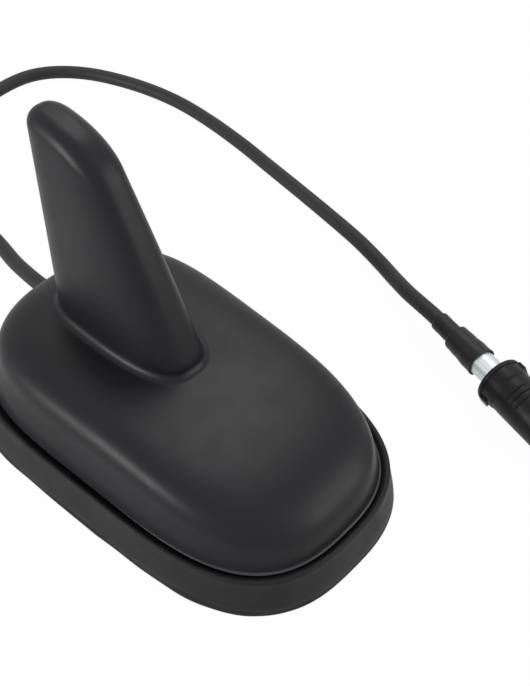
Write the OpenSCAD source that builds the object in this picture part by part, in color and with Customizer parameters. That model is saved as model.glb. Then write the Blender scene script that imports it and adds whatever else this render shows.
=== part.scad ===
/* [Base outline] */
// Length of the foot along the vehicle
base_l = 110.4; // [100:0.2:124]
// Width of the foot at its middle
base_w = 70; // [64:0.5:78]
// Squareness of the two ends, as a power
end_power = 4; // [3:0.1:5]
// Squareness of the two long sides, as a power
side_power = 2.6; // [2.3:0.1:3.2]
// How much narrower the front is, as a share of the width
front_taper = 0.087; // [0:0.005:0.12]

/* [Gasket] */
// Height of the rubber foot
gasket_h = 10.8; // [10.4:0.1:12]
// How far the outer face leans in from bottom to top
gasket_lean = 1.8; // [1:0.1:2.4]
// Width of the ring, from the outer edge to the inner wall
gasket_ring = 8; // [7.6:0.1:9]
// Height of the ledge that the cover stands on
ledge_z = 9.3; // [8.9:0.1:9.6]
// Reach of the inner bottom flange under the plate
flange_reach = 3; // [2:0.1:4]
// Thickness of the inner bottom flange, and of the adhesive pad beside it
pad_t = 1.2; // [0.8:0.1:1.6]

/* [Cover] */
// Wall of the moulded cover
wall = 2; // [1.6:0.1:2.4]
// Inset of the cover's visible lower edge from the foot's outline
edge_inset = 4.3; // [4:0.1:4.8]
// Height of the cover's visible lower edge
edge_z = 10.6; // [10.2:0.1:11]
// Lean of the flank from upright, in degrees
flank_lean = 15; // [11:1:17]
// Share of the shoulder's height up to which the flank is straight
flank_share = 0.7; // [0.6:0.01:0.8]
// Height at which the straight flank and the level deck would meet
shoulder_z = 22.2; // [21.5:0.1:23]
// Rise of the shoulder from the ends to its middle
shoulder_arch = 2.8; // [2:0.1:3.2]
// Rise of the deck from the shoulder to the fin
deck_crown = 4.8; // [4:0.1:5.5]
// Share of the way to the fin at which the deck has bent level
deck_bend = 0.25; // [0.22:0.01:0.32]
// Slope that is left in the deck at the fin, as a share of its rise
deck_fall = 0.45; // [0.4:0.01:0.55]
// Undercut of the foot below the visible edge
foot_undercut = 0.9; // [0.5:0.1:1.2]
// Reach of the shelf that presses the seal, inside the wall
shelf_reach = 3.4; // [3:0.1:4]
// Thickness of the shelf
shelf_t = 1.8; // [1.4:0.1:2.4]

/* [Fin] */
// Distance of the fin's root from the rear end of the foot
fin_back = 17.2; // [16.2:0.1:21.2]
// Length of the fin at its root
fin_l = 42; // [36:0.5:46]
// Width of the fin at its root
fin_root_w = 19; // [13:0.5:22]
// Width of the fin at its top
fin_top_w = 10.1; // [9:0.1:12]
// How far the bend at the top lies behind the front of the root
bend_back = 19.4; // [16:0.2:24]
// Height of that bend
bend_z = 72.6; // [66:0.1:76]
// How far the tip leans back past the rear of the root
tip_back = 3.8; // [0:0.1:5]
// Height of the tip
tip_z = 79; // [76:0.1:86]
// Forward bulge of the leading edge
lead_bulge = 0.6; // [0:0.1:3]
// Place of the widest section, as a share of the way from rear to front
fin_widest = 0.3; // [0.2:0.01:0.5]
// Fullness of the fin's section, as a power
fin_power = 2.6; // [2:0.1:3.4]
// Upward bulge of the fin's top edge
top_bulge = 1.8; // [0:0.1:3]
// Radius round the fin's top edge
top_round = 3.8; // [3.4:0.1:4]
// Length over which the leading edge rounds into the top
bend_round = 9; // [7:0.5:10]
// Hollow radius at the fin's root
root_fillet = 2.2; // [1.5:0.1:3]

/* [Base plate] */
// Thickness of the plate's floor
plate_t = 2; // [1.8:0.1:2.4]
// Width of the plate's rim
rim_w = 2; // [1.6:0.1:2.4]
// Place of the cover screws before and behind the middle, as a share of the foot's length
cover_screw_share = 0.2; // [0.16:0.01:0.22]
// Diameter of the cover's screw bosses
boss_d = 6.4; // [5.6:0.1:7]
// Gap between the screw bosses and the plate's rim
boss_gap = 1; // [0.8:0.1:1.4]
// Height of the pads round the cover screws, above the floor
screw_pad_h = 1.6; // [1.2:0.1:2]
// Diameter of the cover screws
cover_screw_d = 3; // [2.6:0.1:3.2]
// Diameter of the cover screws' heads
cover_head_d = 5.6; // [5:0.1:6]
// Height of the cover screws' heads
cover_head_h = 1.6; // [1.2:0.1:1.8]
// Grip of the cover screws in the bosses
cover_screw_grip = 9; // [6:0.5:12]

/* [Circuit board] */
// Gap between the board's sides and the cover's screw bosses
board_gap = 0.6; // [0.4:0.1:1]
// Chamfer of the board's corners
board_chamfer = 3; // [2:0.1:4]
// Thickness of the board
board_t = 1.6; // [1:0.1:2]
// Height of the posts that carry the board
post_h = 4; // [3.6:0.1:5]
// Diameter of the posts
post_d = 5.6; // [5:0.1:6]
// Distance of the posts from the board's sides
post_side = 4; // [3.4:0.1:4.6]
// Distance of the posts from the board's ends
post_end = 6; // [5.6:0.1:6.4]
// Diameter of the board screws
board_screw_d = 2.2; // [1.8:0.1:2.5]
// Diameter of the board screws' heads
board_head_d = 4.2; // [3.8:0.1:4.6]
// Height of the board screws' heads
board_head_h = 1.3; // [1:0.1:1.6]
// Room between the upright board and the shield can
can_rear_gap = 7; // [6.6:0.1:8]
// Room between the shield can and the front end of the board
can_front_gap = 9; // [8.8:0.1:10]
// Width of the shield can
can_w = 18; // [14:0.5:18]
// Height of the shield can
can_h = 5; // [4:0.1:7]
// Sheet of the shield can, the element and the brackets
sheet_t = 0.5; // [0.4:0.05:0.6]
// Side of the amplifier chip
chip_side = 6; // [4:0.5:8]
// Height of the amplifier chip
chip_h = 1.2; // [0.8:0.1:1.6]
// Number of capacitors in the row
capacitor_count = 5; // [3:1:6]
// Spacing of the capacitors
capacitor_pitch = 4; // [3.6:0.1:4.4]
// Length of each capacitor
capacitor_l = 3.2; // [2.4:0.1:3.6]
// Width of each capacitor
capacitor_w = 1.8; // [1.2:0.1:2.4]
// Gap between the capacitors and the shield can
capacitor_gap = 1; // [0.6:0.1:1.4]

/* [Coil] */
// Diameter of the spool's flanges
spool_d = 8; // [7:0.1:9]
// Diameter of the spool's core
spool_core_d = 4.6; // [4:0.1:5]
// Height of the spool
spool_h = 8; // [7:0.1:9]
// Thickness of each flange
spool_flange_t = 1; // [0.8:0.1:1.2]
// Diameter of the coil's wire
wire_d = 0.7; // [0.5:0.05:0.8]
// Turns of the coil
coil_turns = 6; // [4:1:6]
// Distance of the spool from the board's side
coil_side = 0.6; // [0.4:0.1:1]
// Distance of the spool's middle behind the front of the upright board's foot
coil_back = 3; // [2:0.1:3]

/* [Upright board] */
// Thickness of the upright board
upright_t = 1.2; // [1:0.1:1.6]
// Gap between the upright board's edges and the fin's inner walls
upright_gap = 2; // [1.5:0.1:3]
// Distance of the upright board's foot from the ends of the fin's root
upright_in = 10; // [9:0.5:10]
// Depth below the fin's root at which the upright board widens
upright_step = 6; // [5:0.5:8]
// Height of the brass element below the upright board's top
element_drop = 16; // [10:0.5:24]
// Distance of the brass element from the upright board's front and rear edges
element_in = 1; // [0.5:0.1:2]
// Side of the angle brackets
bracket_side = 5; // [4:0.5:6]
// Width of the angle brackets
bracket_w = 5; // [4:0.5:6]

/* [Cable] */
// Diameter of the coax cable
cable_d = 4.4; // [4:0.1:5]
// Distance of the cable outlet from the middle line
outlet_y = 6; // [5:0.5:7]
// Wall of the grommet round the cable
grommet_wall = 0.8; // [0.6:0.1:1]
// How far the grommet stands out behind the foot
grommet_out = 2.2; // [1:0.1:4]
// Wall of the grommet's inner flange beyond its body
grommet_lip = 1.2; // [0.8:0.1:1.6]
// Thickness of the grommet's inner flange
grommet_lip_t = 1.5; // [1:0.1:2]
// Gap between the end of the lead and the edge of the board
lead_gap = 1.5; // [1:0.1:3]
// Gap between the grommet and the clamp
clamp_gap = 0.5; // [0.3:0.1:0.8]
// Gap between the clamp and the crimp
crimp_gap = 3; // [2:0.1:3.4]
// Length of the crimp on the lead
crimp_l = 3.2; // [2:0.1:3.4]
// Wall of the crimp
crimp_t = 0.5; // [0.4:0.05:0.6]
// Diameter of the centre conductor
core_d = 1; // [0.8:0.1:1.2]
// Width of the cable clamp
clamp_w = 4; // [3.5:0.1:4.5]
// Thickness of the cable clamp
clamp_t = 1; // [0.8:0.1:1.2]
// Distance of the clamp's screw from the side of the strap
clamp_foot = 2.6; // [2.4:0.1:3]
// Distance of the centre conductor's bend from the end of the board
bend_in = 1.8; // [1.2:0.1:1.8]

/* [Plug] */
// Diameter of the small shrink sleeve
small_sleeve_d = 5.1; // [4.9:0.1:5.8]
// Length of the small shrink sleeve
small_sleeve_l = 7.6; // [7:0.1:9]
// Length of the small sleeve that goes into the large one
sleeve_lap = 1; // [0.8:0.1:1.4]
// Distance of the large sleeve from the point where the cable meets the plug's axis
sleeve_join = 8; // [8:0.1:9]
// Diameter of the large shrink sleeve over the ferrule
large_sleeve_d = 7.8; // [7.8:0.1:8.6]
// Diameter of the large sleeve at its rear
sleeve_neck_d = 6.9; // [6.7:0.1:7.4]
// Length of the large shrink sleeve
large_sleeve_l = 11; // [9:0.1:12]
// Extra diameter of the large sleeve's flared end
sleeve_flare = 0.3; // [0.2:0.1:0.6]
// Diameter of the metal ferrule
ferrule_d = 7; // [6.6:0.1:7.2]
// Length of the ferrule inside the large sleeve
ferrule_in = 6; // [5:0.1:7]
// Length of the ferrule beyond the collar, inside the housing
ferrule_grip = 4; // [3:0.1:5]
// Length of the ferrule that shows between the sleeve and the housing
ferrule_show = 6.1; // [4:0.1:7]
// Diameter of the housing's collar
collar_d = 13.2; // [12.8:0.1:13.2]
// Length of the housing's collar
collar_l = 5; // [4.4:0.1:6]
// Diameter of the housing's body
housing_d = 12.2; // [11.8:0.1:12.4]
// Length of the whole housing
housing_l = 27; // [25:0.5:32]
// Width of the windows in the collar
window_w = 3.6; // [3:0.1:4]
// Length of the windows in the collar
window_l = 2.6; // [2:0.1:3]
// Height of the lock tongues above the collar's rim
lock_proud = 0.2; // [0.1:0.1:0.4]
// Length of the stepped nose
nose_l = 6; // [5:0.1:7]
// Step from the body down to the nose
nose_step = 1; // [0.6:0.1:1.2]
// Diameter of the socket in the housing's nose
socket_d = 8.4; // [8:0.1:9]
// Depth of the socket
socket_depth = 10; // [8:0.5:11]
// Number of grip ribs on each side
rib_count = 3; // [2:1:4]
// Spacing of the grip ribs
rib_pitch = 1.7; // [1.5:0.1:2]
// Angle that each grip rib reaches to either side of its middle
rib_reach = 32; // [24:1:45]
// Width of each grip rib
rib_w = 0.7; // [0.5:0.05:0.9]
// Height of the grip ribs
rib_h = 0.35; // [0.25:0.05:0.5]
// Distance of the first grip rib from the collar
rib_start = 3; // [2:0.1:4]
// Diameter of the insulator round the contact pin
insulator_d = 4.4; // [4:0.1:4.8]
// Diameter of the contact pin
pin_d = 1.2; // [1:0.1:1.6]

/* [Hidden] */

$fn = 48;
// Points on each quarter of an outline
quarter = 14;
outline = 4 * quarter;
// Clearance between pieces that slip into each other
fit_gap = 0.15;
// Overlap of tools that cut through a face
cut = 1;

// Length by which each screw stops short of what is under it
screw_short = 0.6;
// Height of the small lip at the cover's lower edge
edge_lip = 0.3;

// Heights of the stack
plate_top = pad_t + plate_t;
rim_top = ledge_z - fit_gap;
shelf_z = edge_z + 0.1;
board_z = plate_top + post_h;
board_top = board_z + board_t;
screw_pad_top = plate_top + screw_pad_h;
screw_pad_d = boss_d + 1;

// Insets from the foot's outline
foot_inset = edge_inset + foot_undercut;
plate_inset = gasket_ring + fit_gap;
rim_inset = plate_inset + rim_w;
pad_inset = gasket_ring + flange_reach + fit_gap;
shelf_inset = foot_inset + wall + shelf_reach;

// Fin stations, which follow the rear end of the foot
fin_rear_x = fin_back - base_l / 2;
fin_front_x = fin_rear_x + fin_l;
bend_x = fin_front_x - bend_back;
tip_x = fin_rear_x - tip_back;
root_z = shoulder_z + deck_crown;
side_z = root_z + root_fillet;
flank_low = edge_z + edge_lip;
flank_top = flank_low + (shoulder_z - flank_low) * flank_share;

// Cable outlet through the rear wall
outlet_z = plate_top + cable_d / 2;
outlet_x = -base_l / 2;
grommet_end = outlet_x - grommet_out;
grommet_r = cable_d / 2 + fit_gap + grommet_wall;
clamp_x = lip_x() + grommet_lip_t + clamp_gap;
crimp_x = clamp_x + clamp_w + crimp_gap;
lead_end = crimp_x + crimp_l;
clamp_screw_at = [clamp_x + clamp_w / 2, outlet_y - cable_d / 2 - clamp_t - clamp_foot];

// Cover screws beside the circuit board, and the board between them and before the lead
cover_screw_x = base_l * cover_screw_share;
cover_screw_y = rim_side(cover_screw_x) - boss_d / 2 - boss_gap;
board_l = -2 * (lead_end + lead_gap);
board_w = 2 * (cover_screw_y - boss_d / 2 - board_gap);
wire_x = bend_in - board_l / 2;

// Places on the board
upright_foot_rear = fin_rear_x + upright_in;
upright_foot_front = fin_front_x - upright_in;
can_rear = upright_foot_front + can_rear_gap;
can_front = board_l / 2 - can_front_gap;
coil_at = [upright_foot_front - coil_back, coil_side + (spool_d - board_w) / 2];

// Route of the cable, out of the grommet, over the surface and into the crimp of the plug,
// as drawn for an outlet at route_outlet; the whole cable moves with the outlet
route_outlet = [-55.2, 6];
route_shift = [outlet_x - route_outlet[0], outlet_y - route_outlet[1], 0];
drawn_route = [
    [-50, 6, 5.4], [-58, 6, 5.4], [-65, 6, 5.2], [-72, 6.8, 4.2], [-79, 8, 3], [-88, 9.8, 2.5], [-102, 12, 2.5],
    [-116, 15.5, 2.5], [-128, 21, 2.5], [-138, 28.5, 2.5], [-146, 38, 2.5], [-151.5, 49, 2.5],
    [-154, 60, 2.5], [-153.5, 71, 2.5], [-149, 79.5, 2.5], [-141, 86.5, 2.5], [-131, 91.5, 2.5],
    [-118, 95.5, 2.5], [-104, 97.5, 2.5], [-89, 97.3, 2.5], [-72, 95.5, 2.5], [-57, 93, 2.5],
    [-42, 90.5, 2.5], [-28, 88, 2.5], [-14, 85.2, 2.5], [-3, 82, 2.6], [5, 78.8, 3.3], [12, 75.6, 4.8],
    [18, 73.3, 6.1], [24.2, 71.5, 6.7], [32.2, 69.28, 6.7], [37.1, 67.92, 6.7]];
route = [for (p = drawn_route) p + route_shift];
// Place, direction and roll of the plug, which lies on its collar
plug_at = route[len(route) - 3];
plug_turn = -15.5;
plug_roll = 27;

// Stations along the plug
small_sleeve_end = sleeve_join + sleeve_lap;
small_sleeve_start = small_sleeve_end - small_sleeve_l;
large_sleeve_end = sleeve_join + large_sleeve_l;
ferrule_start = large_sleeve_end - ferrule_in;
collar_start = large_sleeve_end + ferrule_show;
housing_end = collar_start + housing_l;
socket_floor = housing_end - socket_depth;
ferrule_end = collar_start + collar_l + ferrule_grip;
window_start = collar_start + (collar_l - window_l) / 2;

// Shapes of the outlines

function signed_power(v, e) = sign(v) * pow(abs(v), e);

// Angle of outline point i, kept off the axes so that the fin's corners line up
function outline_angle(i) = 90 * (i + 0.5) / quarter;

// Point i of the foot's outline, moved in by an inset
function foot_point(i, inset) = let(
    a = outline_angle(i),
    x = (base_l / 2 - inset) * signed_power(cos(a), 2 / end_power),
    y = (base_w / 2 - inset) * signed_power(sin(a), 2 / side_power))
    [x, y * (1 - front_taper * 2 * x / base_l)];

function foot_outline(inset) = [for (i = [0:outline - 1]) foot_point(i, inset)];

// Distance of the plate rim's inner face from the middle, at a place across
function rim_reach(y) = (base_l / 2 - rim_inset)
    * pow(1 - pow(y / (base_w / 2 - rim_inset), side_power), 1 / end_power);

// Distance of the plate rim's inner face from the middle line, at a place along the front
function rim_side(x) = (base_w / 2 - rim_inset)
    * pow(1 - pow(x / (base_l / 2 - rim_inset), end_power), 1 / side_power)
    * (1 - front_taper * 2 * x / base_l);

// Place of the grommet's lip, where its outer corner nearly meets the plate's rim
function lip_x() = fit_gap - rim_reach(outlet_y + grommet_r + grommet_lip);

function foot_ring(inset, z) = [for (p = foot_outline(inset)) [p[0], p[1], z]];

// Half width of the fin at a height
function fin_half(z) = let(s = (z - root_z) / (tip_z - root_z))
    (fin_root_w + (fin_top_w - fin_root_w) * s) / 2;

// Point i of the fin's section, an oval that is widest towards its rear
function oval_point(i, rear, front, half) = let(
    a = outline_angle(i),
    widest = rear + (front - rear) * fin_widest,
    reach = cos(a) > 0 ? front - widest : widest - rear)
    [widest + reach * signed_power(cos(a), 2 / fin_power), half * signed_power(sin(a), 2 / fin_power)];

// Leading and rear edge of the fin, from its foot (0) to its top (1)
function lead_x(t) = fin_front_x + (bend_x - fin_front_x) * t + lead_bulge * sin(180 * t);
function lead_z(t) = side_z + (bend_z - top_round - side_z) * t;
function rear_x(t) = fin_rear_x + (tip_x - fin_rear_x) * t;
function rear_z(t) = side_z + (tip_z - top_round - side_z) * t;

// One tilted ring of the fin: inset moves its walls in, lift moves it up, nose moves its front back
function fin_ring(t, inset, lift, nose = 0) =
    [for (i = [0:outline - 1]) let(
        front = lead_x(t) - inset - nose,
        x = oval_point(i, rear_x(t) + inset, front, 1)[0],
        s = (lead_x(t) - x) / (lead_x(t) - rear_x(t)),
        z = lead_z(t) + (rear_z(t) - lead_z(t)) * s + top_bulge * t * t * sin(180 * s),
        p = oval_point(i, rear_x(t) + inset, front, fin_half(z) - inset))
        [p[0], p[1], z + lift]];

// The rounded top of the fin, from its sides (0) over to its crown (90)
function top_ring(a) = fin_ring(1, top_round * (1 - cos(a)), top_round * sin(a),
    (bend_round - top_round) * (1 - cos(a)));

// A ring round the fin's root, moved out by a reach
function root_ring(reach, z) =
    [for (i = [0:outline - 1]) let(
        p = oval_point(i, fin_rear_x - reach, fin_front_x + reach, fin_half(side_z) + reach))
        [p[0], p[1], z]];

// A ring that rises from the ends to its middle
function arched(ring) = [for (p = ring) [p[0], p[1], p[2] + shoulder_arch * (1 - pow(2 * p[0] / base_l, 2))]];

// The leaning flank at a height; depth is the wall behind it
function flank_ring(z, depth) = foot_ring(edge_inset + (z - flank_low) * tan(flank_lean) + depth, z);

// The deck's ring that pulls it level on its way to the fin
function level_ring(depth) = let(outer = foot_ring(edge_inset + depth, 0), inner = root_ring(root_fillet, 0),
    z = root_z - deck_crown * deck_fall - depth)
    [for (i = [0:outline - 1]) let(p = outer[i] + (inner[i] - outer[i]) * deck_bend) [p[0], p[1], z]];

// The deck between the top of the straight flank (0) and the fin's root (1), a cubic sweep through four rings
function deck_ring(t, depth) = let(
    a = flank_ring(flank_top - depth / 2, depth),
    b = arched(flank_ring(shoulder_z - depth, depth)),
    c = arched(level_ring(depth)),
    d = root_ring(depth > 0 ? -depth : root_fillet, root_z - depth))
    [for (i = [0:outline - 1]) a[i] * pow(1 - t, 3) + 3 * b[i] * t * pow(1 - t, 2)
        + 3 * c[i] * t * t * (1 - t) + d[i] * pow(t, 3)];

// Side faces between rings that follow each other; closed joins the last ring to the first
function ring_faces(count, closed) = [for (k = [0:count - (closed ? 1 : 2)], i = [0:outline - 1])
    let(j = (i + 1) % outline, n = (k + 1) % count, a = k * outline, b = n * outline)
    each [[a + i, b + j, a + j], [a + i, b + i, b + j]]];

// Shares of the deck at which it has a ring
deck_stations = [0, 0.1, 0.2, 0.3, 0.42, 0.56, 0.75];

// The outer skin from the foot up to the fin's top, then the inner skin back down to the foot
outer_rings = [
    foot_ring(foot_inset, ledge_z),
    foot_ring(foot_inset, edge_z - 0.4),
    foot_ring(edge_inset + 0.15, edge_z - 0.15),
    foot_ring(edge_inset, edge_z),
    flank_ring(flank_low, 0),
    for (t = deck_stations) deck_ring(t, 0),
    for (a = [0:18:90]) root_ring(root_fillet * (1 - sin(a)), root_z + root_fillet * (1 - cos(a))),
    for (t = [0.1:0.1:1]) fin_ring(t, 0, 0),
    for (a = [18:18:90]) top_ring(a)];
inner_rings = [
    fin_ring(1, wall, top_round - wall, (bend_round - top_round) / 2),
    for (t = [0.8:-0.2:0.2]) fin_ring(t, wall, 0),
    for (t = [1, 0.6, 0.3, 0.15, 0]) deck_ring(t, wall),
    foot_ring(edge_inset + wall + 0.1, shelf_z + shelf_t),
    foot_ring(shelf_inset, shelf_z + shelf_t),
    foot_ring(shelf_inset, shelf_z),
    foot_ring(foot_inset + wall, shelf_z),
    foot_ring(foot_inset + wall, ledge_z)];
fin_top = len(outer_rings) - 1;

// The moulded skin of the cover and fin, one loft that closes over its own foot
module cover_skin() {
    rings = concat(outer_rings, inner_rings);
    count = len(rings);
    sides = [for (f = ring_faces(count, true)) if (!crosses_top(f)) f];
    caps = concat(cap_strips(fin_top * outline, true), cap_strips((fin_top + 1) * outline, false));
    polyhedron(points = [for (r = rings) each r], faces = concat(sides, caps), convexity = 10);
}

// The room under the deck's outer face, which ends the screw bosses inside the wall
module under_deck() {
    rings = [foot_ring(edge_inset, 0), for (t = deck_stations) deck_ring(t, 0), root_ring(root_fillet, root_z)];
    count = len(rings);
    floor_face = [for (i = [0:outline - 1]) i];
    roof_face = [for (i = [outline - 1:-1:0]) (count - 1) * outline + i];
    polyhedron(points = [for (r = rings) each r], faces = concat(ring_faces(count, false), [floor_face, roof_face]),
        convexity = 4);
}

// Strips across the fin's top ring, from one side to its mirror image
function cap_strips(first, upward) = [for (i = [0:outline / 2 - 2])
    let(a = first + i, b = a + 1, d = first + outline - 1 - i, c = d - 1)
    each upward ? [[c, b, a], [d, c, a]] : [[a, b, c], [a, c, d]]];

// A face between the outer top ring and the inner one would bridge the fin's roof
function crosses_top(f) = min(f) < (fin_top + 1) * outline && max(f) >= (fin_top + 1) * outline
    && min(f) >= fin_top * outline;

// A ring-shaped solid from a profile of insets and heights
module foot_loop(profile) {
    rings = [for (p = profile) foot_ring(p[0], p[1])];
    polyhedron(points = [for (r = rings) each r], faces = ring_faces(len(rings), true), convexity = 6);
}

module foot_slab(inset, z, h) {
    translate([0, 0, z]) linear_extrude(height = h) polygon(foot_outline(inset));
}

module at_cover_screws() {
    for (x = [-1, 1], y = [-1, 1])
        translate([x * cover_screw_x, y * cover_screw_y, 0]) children();
}

module at_board_posts() {
    for (x = [-1, 1], y = [-1, 1])
        translate([x * (board_l / 2 - post_end), y * (board_w / 2 - post_side), 0]) children();
}

// A round bar along +X from one place to another
module bar_x(x0, x1, d) {
    translate([x0, 0, 0]) rotate([0, 90, 0]) cylinder(d = d, h = x1 - x0);
}

module at_outlet() {
    translate([0, outlet_y, outlet_z]) children();
}

module at_plug() {
    translate(plug_at) rotate([0, 0, plug_turn]) rotate([plug_roll, 0, 0]) children();
}

// Housing pieces

module cover() {
    color([0.2, 0.2, 0.21]) difference() {
        union() {
            cover_skin();
            intersection() {
                at_cover_screws() translate([0, 0, screw_pad_top]) cylinder(d = boss_d, h = root_z);
                translate([0, 0, -wall / 2]) under_deck();
            }
        }
        at_cover_screws()
            translate([0, 0, screw_pad_top - cut])
                cylinder(d = cover_screw_d + fit_gap, h = cover_screw_grip + cut + fit_gap);
    }
}

// Rubber foot: outer face, rounded top edge, slope down to the cover, ledge, inner wall and flange
module gasket() {
    flange_end = gasket_ring + flange_reach;
    color([0.17, 0.17, 0.17]) difference() {
        foot_loop([
            [0.3, 0], [0, 0.5], [0.1, 1.6], [gasket_lean * 0.6, gasket_h * 0.6],
            [gasket_lean, gasket_h - 0.8], [gasket_lean + 0.25, gasket_h - 0.2],
            [gasket_lean + 0.7, gasket_h], [gasket_lean + 1.2, gasket_h - 0.3],
            [edge_inset, ledge_z], [gasket_ring, ledge_z],
            [gasket_ring, pad_t], [flange_end, pad_t], [flange_end, 0]]);
        at_outlet() bar_x(outlet_x - cut, outlet_x + gasket_ring + cut, 2 * (grommet_r + fit_gap));
    }
}

module cover_seal() {
    color([0.35, 0.12, 0.1]) translate([0, 0, rim_top]) linear_extrude(height = shelf_z - rim_top)
        difference() {
            polygon(foot_outline(plate_inset));
            polygon(foot_outline(rim_inset));
        }
}

module base_plate() {
    color([0.62, 0.63, 0.65]) difference() {
        union() {
            foot_slab(plate_inset, pad_t, plate_t);
            translate([0, 0, pad_t]) linear_extrude(height = rim_top - pad_t) difference() {
                polygon(foot_outline(plate_inset));
                polygon(foot_outline(rim_inset));
            }
            at_board_posts()
                translate([0, 0, pad_t + plate_t / 2]) cylinder(d = post_d, h = board_z - pad_t - plate_t / 2);
            at_cover_screws()
                translate([0, 0, pad_t + plate_t / 2])
                    cylinder(d = screw_pad_d, h = screw_pad_top - pad_t - plate_t / 2);
        }
        at_board_posts()
            translate([0, 0, plate_top]) cylinder(d = board_screw_d + fit_gap, h = post_h + cut);
        at_cover_screws() {
            translate([0, 0, pad_t - cut]) cylinder(d = cover_screw_d + 2 * fit_gap, h = screw_pad_top + cut);
            translate([0, 0, pad_t - cut]) cylinder(d = cover_head_d + 2 * fit_gap, h = cover_head_h + cut);
        }
        at_outlet() {
            bar_x(outlet_x, lip_x() + fit_gap, 2 * (grommet_r + fit_gap));
            translate([outlet_x, -grommet_r - fit_gap, 0])
                cube([lip_x() - outlet_x, 2 * (grommet_r + fit_gap), gasket_h]);
            bar_x(crimp_x - fit_gap, lead_end + fit_gap, cable_d + 2 * (crimp_t + fit_gap));
        }
        translate([clamp_screw_at[0], clamp_screw_at[1], pad_t + screw_short / 2])
            cylinder(d = board_screw_d + fit_gap, h = plate_t);
    }
}

module adhesive_pad() {
    color([0.28, 0.28, 0.29]) foot_slab(pad_inset, 0, pad_t);
}

// Electronics

module circuit_board() {
    square_l = board_l - 2 * board_chamfer;
    square_w = board_w - 2 * board_chamfer;
    color([0.1, 0.35, 0.18]) translate([0, 0, board_z]) linear_extrude(height = board_t) difference() {
        offset(delta = board_chamfer, chamfer = true) square([square_l, square_w], center = true);
        at_board_posts() circle(d = board_screw_d + 2 * fit_gap);
        at_upright_tabs() square([bracket_w + 2 * fit_gap, upright_t + 2 * fit_gap], center = true);
        translate([wire_x, outlet_y]) circle(d = core_d + fit_gap);
    }
}

// The two tabs of the upright board that stand in the circuit board's slots
module at_upright_tabs() {
    for (x = [upright_foot_rear + bracket_w, upright_foot_front - bracket_w]) translate([x, 0, 0]) children();
}

module shield_can() {
    color([0.75, 0.76, 0.77]) difference() {
        translate([can_rear, -can_w / 2, board_top]) cube([can_front - can_rear, can_w, can_h]);
        translate([can_rear + sheet_t, sheet_t - can_w / 2, board_top - cut])
            cube([can_front - can_rear - 2 * sheet_t, can_w - 2 * sheet_t, can_h - sheet_t + cut]);
    }
}

module amplifier_chip() {
    color([0.12, 0.12, 0.13]) translate([(can_rear + can_front - chip_side) / 2, -chip_side / 2, board_top])
        cube([chip_side, chip_side, chip_h]);
}

// A row of capacitors across the board, behind the shield can
module board_capacitors() {
    row_x = can_rear - capacitor_gap - capacitor_w;
    first_y = -((capacitor_count - 1) * capacitor_pitch + capacitor_l) / 2;
    color([0.55, 0.42, 0.3]) for (k = [0:capacitor_count - 1])
        translate([row_x, first_y + k * capacitor_pitch, board_top]) cube([capacitor_w, capacitor_l, capacitor_w]);
}

module coil_former() {
    flange = spool_flange_t;
    color([0.85, 0.83, 0.78]) translate([coil_at[0], coil_at[1], board_top]) union() {
        cylinder(d = spool_core_d, h = spool_h);
        cylinder(d = spool_d, h = flange);
        translate([0, 0, spool_h - flange]) cylinder(d = spool_d, h = flange);
    }
}

// A helix of round wire on the spool's core
module loading_coil() {
    sides = 6;
    steps = 14;
    ring_count = coil_turns * steps + 1;
    rise = (spool_h - 2 * spool_flange_t - 2 * wire_d) / coil_turns;
    radius = spool_core_d / 2 + wire_d / 2 + fit_gap / 2;
    start = spool_flange_t + wire_d;
    points = [for (k = [0:ring_count - 1], s = [0:sides - 1])
        let(a = 360 * k / steps, b = 360 * s / sides, r = radius + wire_d / 2 * cos(b))
        [r * cos(a), r * sin(a), start + rise * k / steps + wire_d / 2 * sin(b)]];
    walls = [for (k = [0:ring_count - 2], s = [0:sides - 1])
        let(n = (s + 1) % sides, a = k * sides, b = a + sides)
        each [[a + s, a + n, b + n], [a + s, b + n, b + s]]];
    first = [for (s = [sides - 1:-1:0]) s];
    last = [for (s = [0:sides - 1]) (ring_count - 1) * sides + s];
    color([0.7, 0.4, 0.2]) translate([coil_at[0], coil_at[1], board_top])
        polyhedron(points = points, faces = concat(walls, [first, last]), convexity = 8);
}

// Upright board, seen from the side as x and z; it follows the hollow of the fin

function upright_front(t) = [lead_x(t) - wall - upright_gap - 0.6, lead_z(t)];
function upright_rear(t) = [rear_x(t) + wall + upright_gap, rear_z(t)];
function upright_edge() = [
    [upright_foot_rear, board_top],
    [upright_foot_front, board_top],
    [upright_foot_front, root_z - upright_step],
    for (t = [0:0.2:0.8]) upright_front(t),
    upright_front(0.92),
    upright_rear(0.92),
    upright_rear(0),
    [upright_foot_rear, root_z - upright_step]];

// A flat piece that stands across Y, from an outline in x and z
module standing(edge, t) {
    translate([0, t / 2, 0]) rotate([90, 0, 0]) linear_extrude(height = t) polygon(edge);
}

module aerial_board() {
    color([0.12, 0.38, 0.2]) {
        union() {
            standing(upright_edge(), upright_t);
            at_upright_tabs() translate([-bracket_w / 2, -upright_t / 2, board_z])
                cube([bracket_w, upright_t, board_t + cut]);
        }
    }
}

// Brass sheet folded over the top of the upright board
module aerial_element() {
    top_front = upright_front(0.92);
    top_rear = upright_rear(0.92);
    slope = (top_front[1] - top_rear[1]) / (top_front[0] - top_rear[0]);
    top_line = function(x, lift) top_front[1] + slope * (x - top_front[0]) + lift;
    front = top_front[0] - element_in;
    rear = top_rear[0] + element_in;
    skin = sheet_t + fit_gap;
    color([0.8, 0.65, 0.3]) difference() {
        standing([[front, top_front[1] - element_drop / 2], [front, top_line(front, skin)],
            [rear, top_line(rear, skin)], [rear, top_rear[1] - element_drop]], upright_t + 2 * skin);
        standing([[front + cut, root_z], [front + cut, top_line(front + cut, fit_gap)],
            [rear - cut, top_line(rear - cut, fit_gap)], [rear - cut, root_z]], upright_t + 2 * fit_gap);
    }
}

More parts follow.
